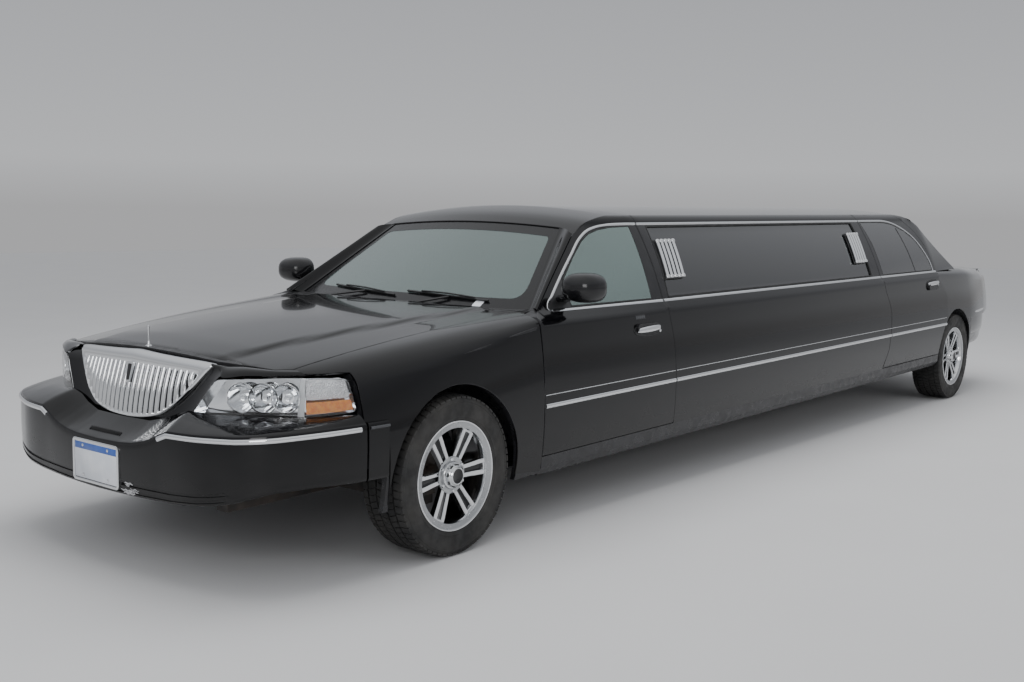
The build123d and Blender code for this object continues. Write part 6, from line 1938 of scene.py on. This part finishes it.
rear_seat = rear.piece("rear_bench_cushions", [LEATHER, TRIM_DARK], "car", 50, "leather")
rear_backs = Bits()
for i in range(3):
    y0 = REAR_START + i * REAR_PITCH
    part = cushion(5668, 5768, y0, y0 + 478, 640, 1108, 4, 4)
    rear_backs.add(fixed_normals(leaned(part, 5700, 640, 10.0)))
rear_back = rear_backs.piece("rear_bench_backs", LEATHER, "car", 50, "leather")


# dashboard with its hood, vents, screen and wheel
dash = Bits()
section = spline([(640, 952), (700, 966), (820, 958), (930, 946), (985, 928), (1004, 900), (1000, 862),
                  (978, 800), (956, 720), (900, 668), (830, 648), (720, 660)], 40)
ys = np.linspace(-806, 806, 30)
rows = np.array([[(x, y, z + 14 * math.exp(-((y + 385) / 190) ** 2) * (x > 880)) for x, z in section]
                 for y in ys])
shell = rows.reshape(-1, 3)
faces = quads(len(ys), len(section))
ends = [tuple(range(len(section))), tuple(range((len(ys) - 1) * len(section), len(ys) * len(section)))[::-1]]
dash.add(fixed_normals((shell, faces + ends)))
for y in (-690, -150, 60, 690):
    dash.add(soft_box(992, 1010, y - 58, y + 58, 868, 902, 5), 1)
dash.add(soft_box(996, 1010, -560, -210, 862, 922, 8), 1)
dash.add(soft_box(984, 1006, -100, 100, 780, 850, 6), 2)
dash.add(soft_box(974, 1000, 300, 640, 740, 812, 8), 1)
dash.piece("dashboard_trim", [TRIM_DARK, GLOSS_BLACK, WOOD], "car", 45, "dash", ["dashboard"])

HUB = Vector((1080.0, -385.0, 832.0))
TILT = Matrix.Translation(HUB) @ Matrix.Rotation(math.radians(66), 4, "Y")
wheel = Bits()
ring = [(182 * math.cos(a), 182 * math.sin(a), 0) for a in np.linspace(0, 2 * np.pi, 65)[:-1]]
rim_part = sweep(ring, circle(14, 14), (0, 0, 1), closed=True)
wheel.add(moved(fixed_normals(rim_part), TILT), 0)
for angle in (90, 270, 0):
    a = math.radians(angle)
    line = [(k * math.cos(a), k * math.sin(a), -14 + 12 * (k / 180) ** 2) for k in (30, 70, 110, 150, 176)]
    section = [(-22, -6), (22, -6), (24, 2), (14, 8), (-14, 8), (-24, 2)]
    spoke = sweep(line, section, (0, 0, 1), scale=[1.2, 1, 0.9, 0.9, 1.1])
    wheel.add(moved(fixed_normals(spoke), TILT))
boss = revolve([(0.1, 14), (40, 12), (62, 4), (70, -8), (66, -22), (30, -34), (28, -120), (0.1, -120)][::-1],
               40, "z")
wheel.add(moved(fixed_normals(boss), TILT), 1)
wheel.piece("steering_wheel_rim", [LEATHER, TRIM_DARK], "car", 45, "dash", ["steering_wheel"])

# bar cabinet: wooden front with doors, glass well and top
bar = Bits()
bar.add(soft_box(2352, 4298, 482, 846, 300, 800, 8), 0)
for i in range(6):
    x0 = 2370 + i * 320
    bar.add(soft_box(x0, x0 + 308, 474, 486, 330, 690, 4), 0)
    bar.add(soft_box(x0 + 140, x0 + 170, 468, 476, 640, 652, 2), 1)
bar.add(soft_box(2350, 4300, 480, 848, 800, 838, 10), 2)
for i in range(12):
    glass = revolve([(0.1, 838), (24, 838), (24, 842), (6, 846), (5, 862), (22, 876), (30, 900), (28, 930),
                     (26.5, 930), (28, 900), (20, 880), (0.1, 868)], 20, "z", (2480 + i * 150, 660, 0))
    bar.add(fixed_normals(glass), 3)
bar.piece("bar_cabinet_front", [WOOD, CHROME, GLOSS_BLACK, LENS_GLASS], "car", 45, "cabinet", ["bar_cabinet"])

# lining of roof and cant rails, so that the cabin has an inner face under the skin
ROOF_DEPTH = 38
lining_ring = [(1230, -560), (1230, 560), (1400, 610), (1700, 660), (5200, 660), (5400, 600), (5400, -600),
               (5200, -660), (1700, -660), (1400, -610)]
LINING = height_skin(lambda x, y: roof_z(x, y) - ROOF_DEPTH, -1, (25.0, 12.0))
single("headlining", patch(LINING, [(x, y) for x, y in lining_ring], step=80, out=0.5, lip=30, radius=3),
       LINING_CLOTH, slot="floor")


def rail_lining(bits):
    """Inner faces of the cant rail above the side windows."""
    line = [(1240, 1362), (1400, 1400), (1660, 1408), (3400, 1408), (5200, 1408), (5380, 1380)]
    points = resampled(line, 80, closed=False)
    verts, n = SIDE.at(points, -24)
    bits.add(sweep(verts, [(-16, -14), (16, -14), (16, 10), (-16, 10)], n))


pair("rail_lining", rail_lining, LINING_CLOTH, "car", 40, "floor")

# ---------------------------------------------------------------- wipers, cowl grille, plate
def wiper(bits, pivot_y, tip_z, foot_y):
    """Arm and blade lying on the windscreen."""
    def on_glass(y, z, out):
        return screen_point(SCREEN, y, z, out)
    arm = [on_glass(pivot_y + (foot_y - pivot_y) * k, 985 + (1032 - 985) * k, 16 - 4 * k)
           for k in np.linspace(0, 1, 6)]
    bits.add(sweep(arm, [(-7, -3), (7, -3), (6, 4), (-6, 4)], (-0.56, 0, 0.83),
                   scale=[1.5, 1.2, 1, 1, 0.9, 0.8]), 0)
    blade = [on_glass(foot_y - 230 + 520 * k, tip_z - 8 + 22 * k, 7) for k in np.linspace(0, 1, 12)]
    bits.add(sweep(blade, [(-3, -5), (3, -5), (4, 4), (-4, 4)], (-0.56, 0, 0.83)), 0)
    rail = [on_glass(foot_y - 150 + 340 * k, tip_z - 2 + 15 * k, 13 + 6 * math.sin(math.pi * k))
            for k in np.linspace(0, 1, 9)]
    bits.add(sweep(rail, [(-4, -2), (4, -2), (3, 3), (-3, 3)], (-0.56, 0, 0.83)), 0)
    hub = revolve([(16, -14), (16, 8), (12, 14), (0.1, 15)][::-1], 20, "z")
    bits.add(shifted(hub, on_glass(pivot_y, 985, 4)))


wipers = Bits()
wiper(wipers, -120, 1036, -330)
wiper(wipers, 560, 1036, 250)
wipers.piece("wipers", BLACK, "car", 40, "black_plastic")

cowl_bits = Bits()
cowl_front = [(610, -760), (604, -680)] + bowed(604, HOOD_BOW, HOOD_BOW_Y)[1:-1] + [(604, 680), (610, 760)]
cowl_ring = cowl_front + [(690, 790), (640, 400), (622, 0), (640, -400), (690, -790)]
cowl_bits.add(patch(height_skin(nose_top), cowl_ring, step=30, out=0.6, lip=6))
for y in np.linspace(-640, 640, 65):
    x = 612 - HOOD_BOW * (1 - (y / HOOD_BOW_Y) ** 2) * (abs(y) < HOOD_BOW_Y)
    z = float(nose_top(x + 10, y)) + lift(x)
    cowl_bits.add(soft_box(x, x + 26, y - 4, y + 4, z - 2, z + 2.4, 1), 0)
cowl_bits.piece("cowl_grille", BLACK, "car", 45, "black_plastic")

PLATE_X = NOSE + 4.6
plate_bits = Bits()
plate_bits.add(soft_box(PLATE_X - 0.4, PLATE_X + 2, -151, 151, 349, 499, 0.9), 0)
plate_bits.add(soft_box(PLATE_X - 0.7, PLATE_X + 0.4, -148, 148, 468, 496, 0.3), 1)
plate_bits.piece("plate_face", [PLATE_WHITE, PLATE_BLUE], "car", 45, "plate", ["number_plate"])
frame_bits = Bits()
loop = rectangle(-158, 158, 341, 505, 14)
path = [(PLATE_X + 1, y, z) for y, z in resampled(loop, 30)]
frame_bits.add(fixed_normals(sweep(path, [(-6, -2), (6, -2), (6, 3), (3, 5), (-3, 5), (-6, 3)], (-1, 0, 0),
                                   closed=True)), 0)
pad = soft_box(PLATE_X + 2, PLATE_X + 34, -172, 172, 334, 512, 8)
frame_bits.add(fixed_normals(pad), 1)
for y in (-88.9, 88.9):
    for z in (424 - 60.3, 424 + 60.3):
        head = fixed_normals(revolve([(6.5, 0), (6.5, 2.2), (4, 3.6), (0.1, 4)][::-1], 16))
        forward = Matrix.Translation((PLATE_X - 0.4, y, z)) @ Matrix.Rotation(math.radians(90), 4, "Z")
        frame_bits.add(moved(head, forward))
frame_bits.piece("plate_frame", [CHROME, BLACK], "car", 40, "chrome")

# ---------------------------------------------------------------- materials of the CAD parts that stay
LOOKS = {"chassis_frame": FRAME_PAINT, "front_suspension": FRAME_PAINT, "rear_axle": CAST, "engine": CAST,
         "exhaust": STEEL, "fuel_tank": BLACK, "floor_pan": CARPET, "partition": TRIM_DARK, "cowl": BLACK,
         "radiator_panel": BLACK, "rear_panel": PAINT, "hood": BODY_INNER, "decklid": BODY_INNER,
         "front_fenders": BODY_INNER, "quarter_panels": BODY_INNER, "stretch_sides": BODY_INNER,
         "number_plate": PLATE_WHITE}
for word in ("left", "right"):
    LOOKS.update({f"knuckle_{word}": CAST, f"door_front_{word}": BODY_INNER, f"door_rear_{word}": BODY_INNER})
for node, material in LOOKS.items():
    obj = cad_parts[node]
    if not obj.material_slots:
        obj.data.materials.append(material)
    for place in obj.material_slots:
        place.material = material
